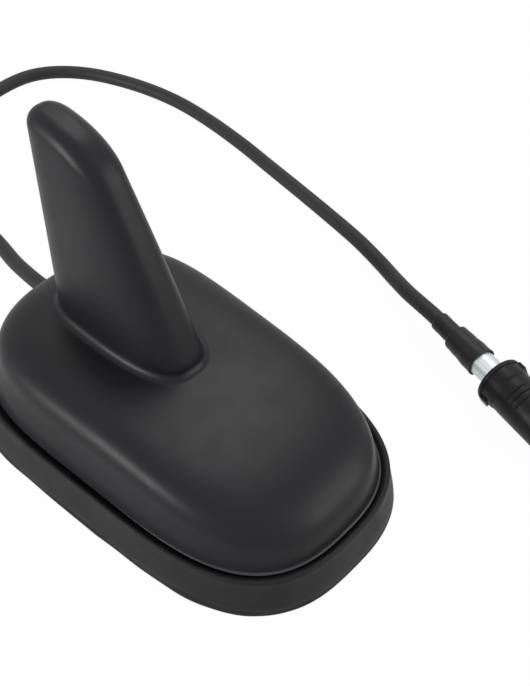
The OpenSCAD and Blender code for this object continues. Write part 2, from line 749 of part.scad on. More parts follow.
module aerial_brackets() {
    color([0.75, 0.76, 0.77])
        translate([(upright_foot_rear + upright_foot_front) / 2 - bracket_w / 2, 0, board_top])
            for (side = [0, 1]) mirror([0, side, 0]) translate([0, upright_t / 2, 0]) {
                cube([bracket_w, bracket_side, sheet_t]);
                cube([bracket_w, sheet_t, bracket_side]);
            }
}

// Fasteners

module screw(d, length, head_d, head_h) {
    cylinder(d = head_d, h = head_h);
    translate([0, 0, head_h - 0.01]) cylinder(d = d, h = length + 0.01);
}

module board_screws() {
    color([0.7, 0.7, 0.72]) at_board_posts()
        translate([0, 0, board_top + board_head_h]) rotate([180, 0, 0])
            screw(board_screw_d, board_t + post_h - screw_short, board_head_d, board_head_h);
}

module cover_screws() {
    length = screw_pad_top - pad_t - cover_head_h + cover_screw_grip;
    color([0.7, 0.7, 0.72]) at_cover_screws()
        translate([0, 0, pad_t]) screw(cover_screw_d, length, cover_head_d, cover_head_h);
}

// Cable inside the housing

module cable_grommet() {
    color([0.08, 0.08, 0.08]) at_outlet() difference() {
        union() {
            bar_x(grommet_end, lip_x(), 2 * grommet_r);
            intersection() {
                bar_x(lip_x(), lip_x() + grommet_lip_t, 2 * (grommet_r + grommet_lip));
                translate([lip_x() - cut, -grommet_r - grommet_lip, -cable_d / 2])
                    cube([grommet_lip_t + 2 * cut, 2 * (grommet_r + grommet_lip), 2 * grommet_r + cable_d]);
            }
        }
        bar_x(grommet_end - cut, lip_x() + grommet_lip_t + cut, cable_d + 2 * fit_gap);
    }
}

module inner_lead() {
    color([0.1, 0.1, 0.1]) at_outlet() bar_x(route[0][0], lead_end, cable_d);
}

module cable_crimp() {
    color([0.75, 0.76, 0.77]) at_outlet() difference() {
        bar_x(crimp_x, lead_end, cable_d + 2 * crimp_t);
        bar_x(crimp_x - cut, lead_end + cut, cable_d + fit_gap);
    }
}

// Centre conductor, straight out of the lead and bent up through the board
module signal_wire() {
    color([0.75, 0.45, 0.25]) at_outlet() {
        bar_x(lead_end, wire_x, core_d);
        translate([wire_x, 0, 0]) sphere(d = core_d);
        translate([wire_x, 0, 0]) cylinder(d = core_d, h = board_top - outlet_z + core_d / 2);
    }
}

// Strap over the lead with one foot on the plate
module cable_clamp() {
    strap_r = cable_d / 2 + fit_gap;
    foot_l = outlet_y - strap_r - clamp_screw_at[1] + board_head_d / 2;
    color([0.75, 0.76, 0.77]) difference() {
        union() {
            at_outlet() bar_x(clamp_x, clamp_x + clamp_w, 2 * (strap_r + clamp_t));
            translate([clamp_x, outlet_y - strap_r - clamp_t, plate_top])
                cube([clamp_w, 2 * (strap_r + clamp_t), cable_d / 2]);
            translate([clamp_x, outlet_y - strap_r - foot_l, plate_top]) cube([clamp_w, foot_l, clamp_t]);
        }
        at_outlet() bar_x(clamp_x - cut, clamp_x + clamp_w + cut, 2 * strap_r);
        translate([clamp_x - cut, outlet_y - strap_r, 0]) cube([clamp_w + 2 * cut, 2 * strap_r, outlet_z]);
        translate([clamp_x - cut, outlet_y - 2 * strap_r, 0]) cube([clamp_w + 2 * cut, 4 * strap_r, plate_top]);
        translate([clamp_screw_at[0], clamp_screw_at[1], 0]) cylinder(d = board_screw_d + 2 * fit_gap, h = outlet_z);
    }
}

module clamp_screw() {
    length = clamp_t + plate_t - screw_short;
    color([0.7, 0.7, 0.72])
        translate([clamp_screw_at[0], clamp_screw_at[1], plate_top + clamp_t + board_head_h])
            rotate([180, 0, 0]) screw(board_screw_d, length, board_head_d, board_head_h);
}

// Cable outside the housing

function blend(p0, p1, p2, p3, t) = 0.5 * (2 * p1 + (p2 - p0) * t
    + (2 * p0 - 5 * p1 + 4 * p2 - p3) * t * t + (3 * p1 - p0 - 3 * p2 + p3) * t * t * t);
route_last = len(route) - 1;
function route_at(k, t) = blend(route[max(k - 1, 0)], route[k], route[k + 1], route[min(k + 2, route_last)], t);
function unit(v) = v / norm(v);

module coax_cable() {
    sides = 10;
    path = [for (k = [0:route_last - 1], t = [0, 0.5]) route_at(k, t), route[route_last]];
    count = len(path);
    points = [for (k = [0:count - 1]) let(
        ahead = unit(k == 0 ? route[1] - route[0] : path[min(k + 1, count - 1)] - path[k - 1]),
        side = unit(cross([0, 0, 1], ahead)),
        up = cross(ahead, side))
        for (s = [0:sides - 1]) path[k] + cable_d / 2 * (side * cos(360 * s / sides) + up * sin(360 * s / sides))];
    walls = [for (k = [0:count - 2], s = [0:sides - 1])
        let(n = (s + 1) % sides, a = k * sides, b = a + sides)
        each [[a + s, b + n, a + n], [a + s, b + s, b + n]]];
    first = [for (s = [0:sides - 1]) s];
    last = [for (s = [sides - 1:-1:0]) (count - 1) * sides + s];
    color([0.13, 0.13, 0.14]) polyhedron(points = points, faces = concat(walls, [first, last]), convexity = 8);
}

// A turned piece along the plug's axis, from a profile of stations and radii
module turned(profile) {
    rotate([0, 90, 0]) rotate_extrude() polygon([for (p = profile) [p[1], p[0]]]);
}

module sleeve_small() {
    bore = cable_d / 2 + fit_gap / 2;
    r = small_sleeve_d / 2;
    start = small_sleeve_start;
    color([0.12, 0.12, 0.12]) at_plug() turned([[start, bore], [start, r - 0.1], [start + 0.2, r],
        [small_sleeve_end, r], [small_sleeve_end, bore]]);
}

module sleeve_large() {
    outer = large_sleeve_d / 2;
    skin = (large_sleeve_d - ferrule_d) / 2 - fit_gap / 2;
    neck = small_sleeve_d / 2 + fit_gap / 2;
    rear_r = sleeve_neck_d / 2;
    mouth = large_sleeve_end;
    flare = sleeve_flare / 2;
    color([0.12, 0.12, 0.12]) at_plug() turned([
        [sleeve_join, neck], [sleeve_join, rear_r - 0.7], [sleeve_join + 0.3, rear_r - 0.25],
        [sleeve_join + 1, rear_r], [ferrule_start - 0.6, rear_r + 0.15], [ferrule_start + 0.6, outer],
        [mouth - 1.5, outer], [mouth, outer + flare], [mouth, outer + flare - skin],
        [mouth - 1.5, outer - skin], [ferrule_start - fit_gap, outer - skin],
        [ferrule_start - fit_gap, rear_r - skin], [small_sleeve_end, neck]]);
}

module plug_ferrule() {
    bore = cable_d / 2 + fit_gap / 2;
    color([0.8, 0.8, 0.8]) at_plug() difference() {
        bar_x(ferrule_start, ferrule_end, ferrule_d);
        bar_x(ferrule_start - cut, ferrule_end + cut, 2 * bore);
    }
}

// Housing of the plug: collar with windows, ribbed body, stepped nose with its socket
module plug_housing() {
    bore = ferrule_d + 2 * fit_gap;
    nose_r = housing_d / 2 - nose_step;
    color([0.13, 0.13, 0.14]) at_plug() difference() {
        union() {
            turned([[collar_start, 0], [collar_start, collar_d / 2 - 0.5], [collar_start + 0.5, collar_d / 2],
                [collar_start + 1.2, collar_d / 2], [collar_start + 1.4, collar_d / 2 - 0.3],
                [collar_start + collar_l, collar_d / 2 - 0.3], [collar_start + collar_l, housing_d / 2 - 0.3],
                [collar_start + collar_l + 1, housing_d / 2 - 0.3], [collar_start + collar_l + 1.6, housing_d / 2],
                [housing_end - nose_l, housing_d / 2], [housing_end - nose_l, nose_r],
                [housing_end - 0.6, nose_r], [housing_end, nose_r - 0.5], [housing_end, 0]]);
            for (k = [0:rib_count - 1]) grip_rib(collar_start + collar_l + rib_start + k * rib_pitch);
        }
        bar_x(collar_start - cut, ferrule_end + fit_gap, bore);
        bar_x(socket_floor, housing_end + cut, socket_d);
        bar_x(ferrule_end, socket_floor + cut, insulator_d + 2 * fit_gap);
        for (side = [-1, 1])
            translate([window_start, side * collar_d / 2 - window_w / 2, -window_w / 2])
                cube([window_l, window_w, window_w]);
    }
}

// A rib that runs part of the way round each side of the body
module grip_rib(x) {
    translate([x, 0, 0]) for (turn = [-rib_reach, 180 - rib_reach])
        rotate([turn, 0, 0]) rotate([0, 90, 0]) rotate_extrude(angle = 2 * rib_reach)
            translate([housing_d / 2 - 0.5, 0]) square([0.5 + rib_h, rib_w]);
}

// Two lock tongues that sit in the collar's windows
module plug_lock() {
    low = (collar_d - window_w) / 2;
    high = collar_d / 2 + lock_proud;
    color([0.1, 0.1, 0.1]) at_plug() for (side = [0, 1]) mirror([0, side, 0])
        translate([window_start + fit_gap, low, fit_gap - window_w / 2])
            cube([window_l - 2 * fit_gap, high - low, window_w - 2 * fit_gap]);
}

module plug_insulator() {
    color([0.9, 0.9, 0.88]) at_plug() difference() {
        bar_x(ferrule_end, socket_floor, insulator_d);
        bar_x(ferrule_end - cut, socket_floor + cut, pin_d + fit_gap);
    }
}

module plug_contact() {
    color([0.85, 0.7, 0.35]) at_plug() bar_x(ferrule_start + 2, socket_floor, pin_d);
}

cover();
gasket();
cover_seal();
base_plate();
adhesive_pad();
circuit_board();
shield_can();
amplifier_chip();
board_capacitors();
coil_former();
loading_coil();
aerial_board();
aerial_element();
aerial_brackets();
board_screws();
cover_screws();
cable_grommet();
inner_lead();
cable_crimp();
signal_wire();
cable_clamp();
clamp_screw();
coax_cable();
sleeve_small();
sleeve_large();
plug_ferrule();
plug_housing();
plug_lock();
plug_insulator();
plug_contact();
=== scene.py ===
"""Shark fin aerial: looks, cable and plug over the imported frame."""

import math

import bmesh
import bpy
from mathutils import Matrix, Vector


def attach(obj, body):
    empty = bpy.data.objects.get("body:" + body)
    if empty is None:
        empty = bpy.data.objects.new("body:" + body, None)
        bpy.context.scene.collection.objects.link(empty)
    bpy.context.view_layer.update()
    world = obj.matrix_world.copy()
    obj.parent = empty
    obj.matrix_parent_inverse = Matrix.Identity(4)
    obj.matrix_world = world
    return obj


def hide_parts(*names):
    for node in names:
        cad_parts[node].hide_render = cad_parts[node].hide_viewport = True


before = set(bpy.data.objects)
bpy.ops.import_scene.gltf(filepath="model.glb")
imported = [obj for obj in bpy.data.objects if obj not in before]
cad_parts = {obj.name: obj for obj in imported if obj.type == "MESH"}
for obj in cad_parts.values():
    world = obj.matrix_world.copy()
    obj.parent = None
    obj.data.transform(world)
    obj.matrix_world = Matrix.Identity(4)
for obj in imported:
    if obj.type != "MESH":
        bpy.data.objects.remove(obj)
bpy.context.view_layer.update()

MM = 0.001
BODY = "root"

# Foot and cover, in millimetres
BASE_L = 110.4
BASE_W = 70
END_POWER = 4
SIDE_POWER = 2.6
FRONT_TAPER = 0.087
GASKET_H = 10.8
GASKET_LEAN = 1.8
GASKET_RING = 8
LEDGE_Z = 9.3
FLANGE_REACH = 3
PAD_T = 1.2
WALL = 2
EDGE_INSET = 4.3
EDGE_Z = 10.6
FLANK_LOW = EDGE_Z + 0.3
FLANK_LEAN = math.tan(math.radians(15))
FLANK_SHARE = 0.7
SHOULDER_Z = 22.2
SHOULDER_ARCH = 2.3
FRONT_DROP = 1.6
FRONT_EASE = 0.8
DECK_CROWN = 4.8
DECK_BEND = 0.25
DECK_FALL = 0.45
FOOT_UNDERCUT = 0.9
SHELF_REACH = 3.4
SHELF_T = 1.8
SHELF_Z = EDGE_Z + 0.1
BOSS_D = 6.4
BOSS_HOLE_D = 3.15
BOSS_X = 22.08
BOSS_Y = 19.24
BOSS_Z = 4.8
BOSS_GRIP = 9
BOSS_TOP = 22
OUTLINE = 224
EDGE_ROUND = 0.3
LIP_LEAST = 0.01
LIP_MORE = 0.4
LIP_START_X = 8
LIP_GROWTH = 36
LIP_RISE = 1.1
CREST_ROUND = 0.75
FIT_GAP = 0.15

# Fin, in millimetres
FIN_FRONT_X = 3.8
FIN_REAR_X = -38
FIN_ROOT_W = 19
FIN_TOP_W = 10.1
BEND_X = FIN_FRONT_X - 20.4
BEND_Z = 72.6
TIP_X = FIN_REAR_X - 3.8
TIP_Z = 79
LEAD_BULGE = 0.6
FIN_WIDEST = 0.3
FIN_POWER = 2.6
NOSE_POWER = 3.0
TOP_BULGE = 1.8
TOP_ROUND = 3.8
BEND_ROUND = 9
ROOT_FILLET = 2.2
ROOT_Z = SHOULDER_Z + DECK_CROWN
SIDE_Z = ROOT_Z + ROOT_FILLET

# Cable and plug, in millimetres
CABLE_D = 4.4
PLUG_AT = Vector((24.2, 71.5, 6.7))
PLUG_TURN = math.radians(-15.5)
PLUG_ROLL = math.radians(27)
OUTLET_Y = 6
OUTLET_Z = 5.4
GROMMET_R = 3.15
SMALL_SLEEVE_D = 5.4
SMALL_SLEEVE_L = 7.6
SLEEVE_LAP = 1
SLEEVE_JOIN = 8
LARGE_SLEEVE_D = 8.1
SLEEVE_NECK_D = 7.3
LARGE_SLEEVE_L = 11
SLEEVE_FLARE = 0.3
FERRULE_IN = 6
FERRULE_D = 7
FERRULE_SHOW = 6.1
COLLAR_D = 13.2
COLLAR_L = 5
HOUSING_D = 12.2
HOUSING_L = 27
WINDOW_W = 3.6
WINDOW_L = 2.6
SOCKET_D = 8.4
SOCKET_DEPTH = 10
PIN_SLEEVE_D = 4.4
RIB_COUNT = 3
RIB_PITCH = 1.7
RIB_REACH = 32
RIB_H = 0.35
RIB_LIFT = 0.05
RIB_START = 3
SLEEVE_GAP = 0.08
FLAT_DEPTH = 0.05
SMALL_SLEEVE_END = SLEEVE_JOIN + SLEEVE_LAP
SMALL_SLEEVE_START = SMALL_SLEEVE_END - SMALL_SLEEVE_L
LARGE_SLEEVE_END = SLEEVE_JOIN + LARGE_SLEEVE_L
COLLAR_START = LARGE_SLEEVE_END + FERRULE_SHOW
HOUSING_END = COLLAR_START + HOUSING_L
SOCKET_FLOOR = HOUSING_END - SOCKET_DEPTH
FERRULE_END = COLLAR_START + COLLAR_L + 4

# Route of the cable, in metres: out of the grommet, over the surface and into the plug's crimp
ROUTE = [
    (-0.050, 0.006, 0.0054), (-0.058, 0.006, 0.0054), (-0.065, 0.006, 0.0052),
    (-0.072, 0.0068, 0.0042), (-0.079, 0.008, 0.003), (-0.088, 0.0098, 0.0025),
    (-0.102, 0.012, 0.0025), (-0.116, 0.0155, 0.0025), (-0.128, 0.021, 0.0025),
    (-0.138, 0.0285, 0.0025), (-0.146, 0.038, 0.0025), (-0.1515, 0.049, 0.0025),
    (-0.154, 0.060, 0.0025), (-0.1535, 0.071, 0.0025), (-0.149, 0.0795, 0.0025),
    (-0.141, 0.0865, 0.0025), (-0.131, 0.0915, 0.0025), (-0.118, 0.0955, 0.0025),
    (-0.104, 0.0975, 0.0025), (-0.089, 0.0973, 0.0025), (-0.072, 0.0955, 0.0025),
    (-0.057, 0.093, 0.0025), (-0.042, 0.0905, 0.0025), (-0.028, 0.088, 0.0025),
    (-0.014, 0.0852, 0.0025), (-0.003, 0.082, 0.0026), (0.005, 0.0788, 0.0033),
    (0.012, 0.0756, 0.0048), (0.018, 0.0733, 0.0061), (0.0242, 0.0715, 0.0067),
    (0.0322, 0.06928, 0.0067), (0.0371, 0.06792, 0.0067)]
STEPS_PER_SPAN = 8

# Camera: the place and turn from which the photograph was taken
CAMERA_AT = Vector((0.11596, -0.10213, 0.20014))
CAMERA_AZIMUTH = math.radians(42.30)
CAMERA_ELEVATION = math.radians(47.263)
CAMERA_ROLL = math.radians(-1.318)
CAMERA_LENS = 52.48
CAMERA_SHIFT = (0.0152, 0.0018)
SENSOR_WIDTH = 36
CLIP_START = 0.01

# Studio, in metres and watts
# Dimmed sides of the tent: direction, dot products between which it dims, what is left
TENT_SHADES = [
    ((0.46, -0.5, 0.73), 0.5, 0.85, 0.05),
    ((-1, 0, 0), 0.35, 0.75, 0.4),
    ((0.32, 0.9, 0.3), 0.65, 0.95, 0.35)]
# Lamps: name, direction, distance, size and power
LAMPS = [
    ("near_left_box", (-0.34, -0.88, 0.31), 0.9, (0.34, 0.36), 4.8),
    ("right_box", (0.8, 0.5, 0.34), 0.9, (0.5, 0.34), 1.8),
    ("far_right_box", (0.6, 0.5, 0.62), 0.9, (0.3, 0.2), 0.8),
    ("back_box", (-0.3, 0.42, 0.86), 1.1, (0.5, 0.5), 3.2)]
LAMP_CENTRE = Vector((0, 0, 0.02))
FLOOR_HALF = 1.5
FLOOR_Z = -0.0001
FLOOR_GREY = 0.85
FLOOR_GLOW = 0.975


# Camera, floor and light

def make_camera():
    """The camera at the photographer's place."""
    a = CAMERA_AZIMUTH
    e = CAMERA_ELEVATION
    back = Vector((math.sin(a) * math.cos(e), -math.cos(a) * math.cos(e), math.sin(e)))
    right = Vector((math.cos(a), math.sin(a), 0))
    up = back.cross(right)
    c = math.cos(CAMERA_ROLL)
    s = math.sin(CAMERA_ROLL)
    x_axis = c * right - s * up
    y_axis = s * right + c * up
    data = bpy.data.cameras.new("camera")
    data.sensor_width = SENSOR_WIDTH
    data.lens = CAMERA_LENS
    data.shift_x, data.shift_y = CAMERA_SHIFT
    data.clip_start = CLIP_START
    camera = bpy.data.objects.new("camera", data)
    turn = Matrix((x_axis, y_axis, back)).transposed().to_4x4()
    camera.matrix_world = Matrix.Translation(CAMERA_AT) @ turn
    bpy.context.scene.collection.objects.link(camera)
    bpy.context.scene.camera = camera


def combine(tree, operation, first, second):
    """A math node over a socket and either another socket or a number."""
    node = tree.nodes.new("ShaderNodeMath")
    node.operation = operation
    tree.links.new(first, node.inputs[0])
    if isinstance(second, float):
        node.inputs[1].default_value = second
    else:
        tree.links.new(second, node.inputs[1])
    return node.outputs[0]


def seen_directly(tree):
    """A factor that is 1 for camera, glossy and transmission rays."""
    path = tree.nodes.new("ShaderNodeLightPath")
    first = combine(tree, "MAXIMUM", path.outputs["Is Camera Ray"], path.outputs["Is Glossy Ray"])
    return combine(tree, "MAXIMUM", first, path.outputs["Is Transmission Ray"])


def dimmed_towards(tree, place, direction, low, high, least):
    """A factor that falls from 1 to least as a direction nears the given one."""
    towards = tree.nodes.new("ShaderNodeVectorMath")
    towards.operation = "DOT_PRODUCT"
    towards.inputs[1].default_value = direction
    tree.links.new(place, towards.inputs[0])
    return remap(tree, towards.outputs["Value"], low, high, 1.0, least)


def mix_by_ray(tree, factor, lit, seen, output):
    """Mixes the shader that lights the object with the one that is seen."""
    mix = tree.nodes.new("ShaderNodeMixShader")
    tree.links.new(factor, mix.inputs["Fac"])
    tree.links.new(lit.outputs[0], mix.inputs[1])
    tree.links.new(seen.outputs[0], mix.inputs[2])
    tree.links.new(mix.outputs[0], tree.nodes.new(output).inputs["Surface"])


def make_world():
    """A tent whose light is dimmed on three sides, seen as plain white."""
    world = bpy.data.worlds.new("studio")
    world.use_nodes = True
    tree = world.node_tree
    tree.nodes.clear()
    place = tree.nodes.new("ShaderNodeTexCoord").outputs["Generated"]
    strength = dimmed_towards(tree, place, *TENT_SHADES[0])
    for shade in TENT_SHADES[1:]:
        strength = combine(tree, "MULTIPLY", strength, dimmed_towards(tree, place, *shade))
    tent = tree.nodes.new("ShaderNodeBackground")
    white = tree.nodes.new("ShaderNodeBackground")
    for node in (tent, white):
        node.inputs["Color"].default_value = (1, 1, 1, 1)
    tree.links.new(strength, tent.inputs["Strength"])
    white.inputs["Strength"].default_value = 1.0
    mix_by_ray(tree, seen_directly(tree), tent, white, "ShaderNodeOutputWorld")
    bpy.context.scene.world = world


def make_floor():
    """White paper that keeps the object's shadow and is nearly plain white where it is seen."""
    corners = [(x * FLOOR_HALF, y * FLOOR_HALF, FLOOR_Z)
               for x, y in ((-1, -1), (1, -1), (1, 1), (-1, 1))]
    mesh = bpy.data.meshes.new("floor")
    mesh.from_pydata(corners, [], [(0, 1, 2, 3)])
    floor = bpy.data.objects.new("floor", mesh)
    bpy.context.scene.collection.objects.link(floor)
    material = bpy.data.materials.new("floor_white")
    material.use_nodes = True
    tree = material.node_tree
    tree.nodes.clear()
    paper = tree.nodes.new("ShaderNodeBsdfDiffuse")
    paper.inputs["Color"].default_value = (FLOOR_GREY, FLOOR_GREY, FLOOR_GREY, 1)
    glow = tree.nodes.new("ShaderNodeEmission")
    glow.inputs["Strength"].default_value = 1.0
    factor = combine(tree, "MULTIPLY", seen_directly(tree), FLOOR_GLOW)
    mix_by_ray(tree, factor, paper, glow, "ShaderNodeOutputMaterial")
    mesh.materials.append(material)


def make_lights():
    """Rectangular softboxes that face the object."""
    for name, direction, distance, size, power in LAMPS:
        data = bpy.data.lights.new(name, "AREA")
        data.shape = "RECTANGLE"
        data.size, data.size_y = size
        data.energy = power
        lamp = bpy.data.objects.new(name, data)
        towards = Vector(direction).normalized()
        lamp.location = towards * distance + LAMP_CENTRE
        lamp.rotation_euler = towards.to_track_quat("Z", "Y").to_euler()
        bpy.context.scene.collection.objects.link(lamp)


# Materials

CLOUD = 35.0
COVER_DARK = (0.0074, 0.0072, 0.0092)
COVER_LIGHT = (0.0092, 0.009, 0.0112)
COVER_SPECULAR = 0.22
COVER_ROUGHNESS = (0.36, 0.43)
# Painted highlight on the lip's front and scuffs at the fin's tip, by heights and a length in metres
LIP_HIGHLIGHT_FROM_Z = (0.01058, 0.0107)
LIP_HIGHLIGHT_TO_Z = (0.01098, 0.0111)
LIP_HIGHLIGHT_X = (0.015, 0.045)
LIP_HIGHLIGHT_SHARE = 0.9
LIP_HIGHLIGHT_COLOUR = (0.075, 0.075, 0.078)
SCUFF_Z = (0.0765, 0.079)
SCUFF_COLOUR = (0.08, 0.08, 0.085)


def new_material(name):
    material = bpy.data.materials.new(name)
    material.use_nodes = True
    tree = material.node_tree
    shader = next(n for n in tree.nodes if n.type == "BSDF_PRINCIPLED")
    return material, tree, shader


def object_coordinates(tree, scale=(1, 1, 1)):
    place = tree.nodes.new("ShaderNodeTexCoord")
    mapping = tree.nodes.new("ShaderNodeMapping")
    mapping.inputs["Scale"].default_value = scale
    tree.links.new(place.outputs["Object"], mapping.inputs["Vector"])
    return mapping.outputs["Vector"]


def noise(tree, vector, scale, detail=4.0, roughness=0.55):
    node = tree.nodes.new("ShaderNodeTexNoise")
    node.inputs["Scale"].default_value = scale
    node.inputs["Detail"].default_value = detail
    node.inputs["Roughness"].default_value = roughness
    tree.links.new(vector, node.inputs["Vector"])
    return node.outputs["Fac"]


def remap(tree, value, low, high, out_low, out_high):
    node = tree.nodes.new("ShaderNodeMapRange")
    node.inputs["From Min"].default_value = low
    node.inputs["From Max"].default_value = high
    node.inputs["To Min"].default_value = out_low
    node.inputs["To Max"].default_value = out_high
    tree.links.new(value, node.inputs["Value"])
    return node.outputs["Result"]


def blend_colours(tree, factor, first, second):
    """Mixes a colour, or the colour from a socket, with a second colour."""
    node = tree.nodes.new("ShaderNodeMix")
    node.data_type = "RGBA"
    if isinstance(first, tuple):
        node.inputs[6].default_value = (*first, 1)
    else:
        tree.links.new(first, node.inputs[6])
    node.inputs[7].default_value = (*second, 1)
    tree.links.new(factor, node.inputs["Factor"])
    return node.outputs[2]


def add_bump(tree, shader, height, strength, distance):
    node = tree.nodes.new("ShaderNodeBump")
    node.inputs["Strength"].default_value = strength
    node.inputs["Distance"].default_value = distance
    tree.links.new(height, node.inputs["Height"])
    tree.links.new(node.outputs["Normal"], shader.inputs["Normal"])


def uneven_gloss(tree, shader, value, roughness):
    """Drives the roughness between two values by a noise."""
    tree.links.new(remap(tree, value, 0.3, 0.7, *roughness), shader.inputs["Roughness"])


def moulded(name, dark, light, roughness, grain, grain_depth, metallic=0.0, specular=0.5):
    """A surface with a soft cloud of tone, uneven gloss and a fine grain."""
    material, tree, shader = new_material(name)
    place = object_coordinates(tree)
    tone = remap(tree, noise(tree, place, CLOUD, 3), 0.35, 0.65, 0, 1)
    tree.links.new(blend_colours(tree, tone, dark, light), shader.inputs["Base Color"])
    uneven_gloss(tree, shader, noise(tree, place, CLOUD * 4, 5), roughness)
    shader.inputs["Metallic"].default_value = metallic
    shader.inputs["Specular IOR Level"].default_value = specular
    add_bump(tree, shader, noise(tree, place, grain, 2), 0.35, grain_depth)
    return material


def cover_material():
    """Charcoal satin plastic with a fine grain, a paler painted highlight along the lip's front and
    scuffs at the fin's tip.
    """
    material, tree, shader = new_material("cover_satin")
    place = object_coordinates(tree)
    axes = tree.nodes.new("ShaderNodeSeparateXYZ")
    tree.links.new(place, axes.inputs[0])
    tone = remap(tree, noise(tree, place, 28, 3), 0.35, 0.65, 0, 1)
    base = blend_colours(tree, tone, COVER_DARK, COVER_LIGHT)
    # A paler band is painted along the lip's front as its highlight, not as wear
    above = remap(tree, axes.outputs["Z"], *LIP_HIGHLIGHT_FROM_Z, 0, 1)
    below = remap(tree, axes.outputs["Z"], *LIP_HIGHLIGHT_TO_Z, 1, 0)
    ahead = remap(tree, axes.outputs["X"], *LIP_HIGHLIGHT_X, 0, LIP_HIGHLIGHT_SHARE)
    lip_highlight_mask = combine(tree, "MULTIPLY", combine(tree, "MULTIPLY", above, below), ahead)
    lip_highlit = blend_colours(tree, lip_highlight_mask, base, LIP_HIGHLIGHT_COLOUR)
    near_tip = remap(tree, axes.outputs["Z"], *SCUFF_Z, 0, 1)
    specks = remap(tree, noise(tree, place, 1100, 2), 0.66, 0.74, 0, 1)
    scuffed = combine(tree, "MULTIPLY", near_tip, specks)
    highlit_and_scuffed = blend_colours(tree, scuffed, lip_highlit, SCUFF_COLOUR)
    tree.links.new(highlit_and_scuffed, shader.inputs["Base Color"])
    shader.inputs["Specular IOR Level"].default_value = COVER_SPECULAR
    uneven_gloss(tree, shader, noise(tree, place, 160, 5), COVER_ROUGHNESS)
    add_bump(tree, shader, noise(tree, place, 2000, 3), 0.4, 0.00004)
    return material


def brushed(name, colour, roughness, lines=(1, 60, 60)):
    """Metal with fine turning lines along one direction."""
    material, tree, shader = new_material(name)
    place = object_coordinates(tree, lines)
    streak = noise(tree, place, 60, 3)
    light = tuple(min(1.0, c * 1.06) for c in colour)
    dark = tuple(c * 0.92 for c in colour)
    tree.links.new(blend_colours(tree, streak, dark, light), shader.inputs["Base Color"])
    uneven_gloss(tree, shader, streak, roughness)
    shader.inputs["Metallic"].default_value = 1.0
    add_bump(tree, shader, streak, 0.1, 0.00002)
    return material


def make_materials():
    """Every finish by its key; colours are linear, grain is per metre and its depth in metres."""
    return {
        "cover": cover_material(),
        "gasket": moulded("gasket_rubber", (0.0068, 0.0066, 0.0078), (0.0088, 0.0086, 0.01),
                          (0.5, 0.62), 2200, 0.00006, specular=0.22),
        "seal": moulded("seal_silicone", (0.28, 0.05, 0.04), (0.34, 0.07, 0.05),
                        (0.4, 0.5), 1500, 0.00004),
        "cast": moulded("cast_plate", (0.5, 0.51, 0.53), (0.6, 0.61, 0.63),
                        (0.35, 0.5), 1400, 0.00008, metallic=1.0),
        "foam": moulded("foam_pad", (0.05, 0.05, 0.053), (0.075, 0.075, 0.08),
                        (0.8, 0.95), 1800, 0.0002),
        "laminate": moulded("solder_mask", (0.012, 0.11, 0.04), (0.02, 0.15, 0.06),
                            (0.2, 0.3), 900, 0.00002),
        "tinned": brushed("tinned_sheet", (0.66, 0.67, 0.68), (0.22, 0.35)),
        "chip": moulded("chip_epoxy", (0.012, 0.012, 0.012), (0.02, 0.02, 0.02),
                        (0.5, 0.6), 2500, 0.00003),
        "fired": moulded("fired_ceramic", (0.3, 0.17, 0.09), (0.36, 0.22, 0.12),
                         (0.3, 0.4), 1500, 0.00002),
        "spool": moulded("spool_nylon", (0.62, 0.57, 0.48), (0.7, 0.65, 0.56),
                         (0.4, 0.5), 1200, 0.00004),
        "copper": brushed("copper_wire", (0.72, 0.36, 0.2), (0.2, 0.3)),
        "brass": brushed("rolled_brass", (0.76, 0.56, 0.26), (0.22, 0.34)),
        "screw": brushed("zinc_screw", (0.6, 0.6, 0.63), (0.25, 0.38)),
        "grommet": moulded("grommet_rubber", (0.013, 0.013, 0.013), (0.018, 0.018, 0.018),
                           (0.5, 0.6), 2000, 0.00005),
        "jacket": moulded("cable_jacket", (0.011, 0.011, 0.012), (0.015, 0.015, 0.016),
                          (0.5, 0.6), 2600, 0.00005, specular=0.3),
        "shrink": moulded("shrink_sleeve", (0.006, 0.006, 0.0064), (0.009, 0.009, 0.0094),
                          (0.4, 0.48), 2400, 0.00006, specular=0.25),
        "ferrule": brushed("bright_nickel", (0.6, 0.62, 0.63), (0.42, 0.52), (1, 26, 26)),
        "housing": moulded("plug_nylon", (0.005, 0.005, 0.0054), (0.0075, 0.0075, 0.0079),
                           (0.36, 0.46), 2200, 0.00005, specular=0.18),
        "insulator": moulded("insulator_white", (0.75, 0.75, 0.72), (0.82, 0.82, 0.79),
                             (0.35, 0.45), 1200, 0.00002),
    }


# Mesh helpers

def link(obj):
    bpy.context.scene.collection.objects.link(obj)
    return obj


def add_piece(name, points, faces, material, smooth=True):
    mesh = bpy.data.meshes.new(name)
    mesh.from_pydata([tuple(p) for p in points], [], faces)
    mesh.validate()
    mesh.materials.append(material)
    if smooth:
        mesh.polygons.foreach_set("use_smooth", [True] * len(mesh.polygons))
    mesh.update()
    return link(bpy.data.objects.new(name, mesh))


def bridge(count, points_per_ring, closed):
    """Faces between rings that follow each other, outward for counter-clockwise rings going up."""
    faces = []
    for k in range(count if closed else count - 1):
        a = k * points_per_ring
        b = (k + 1) % count * points_per_ring
        for i in range(points_per_ring):
            j = (i + 1) % points_per_ring
            faces.append((a + i, a + j, b + j, b + i))
    return faces


def plain_mesh(obj):
    """Replaces an object's mesh and modifiers by the evaluated mesh."""
    graph = bpy.context.evaluated_depsgraph_get()
    mesh = bpy.data.meshes.new_from_object(obj.evaluated_get(graph))
    obj.modifiers.clear()
    obj.data = mesh
    return obj


def cut_with(obj, cutters):
    """Cuts closed tools out of a piece and removes the tools."""
    for tool in cutters:
        modifier = obj.modifiers.new("cut", "BOOLEAN")
        modifier.operation = "DIFFERENCE"
        modifier.solver = "EXACT"
        modifier.object = tool
    plain_mesh(obj)
    for tool in cutters:
        bpy.data.objects.remove(tool)


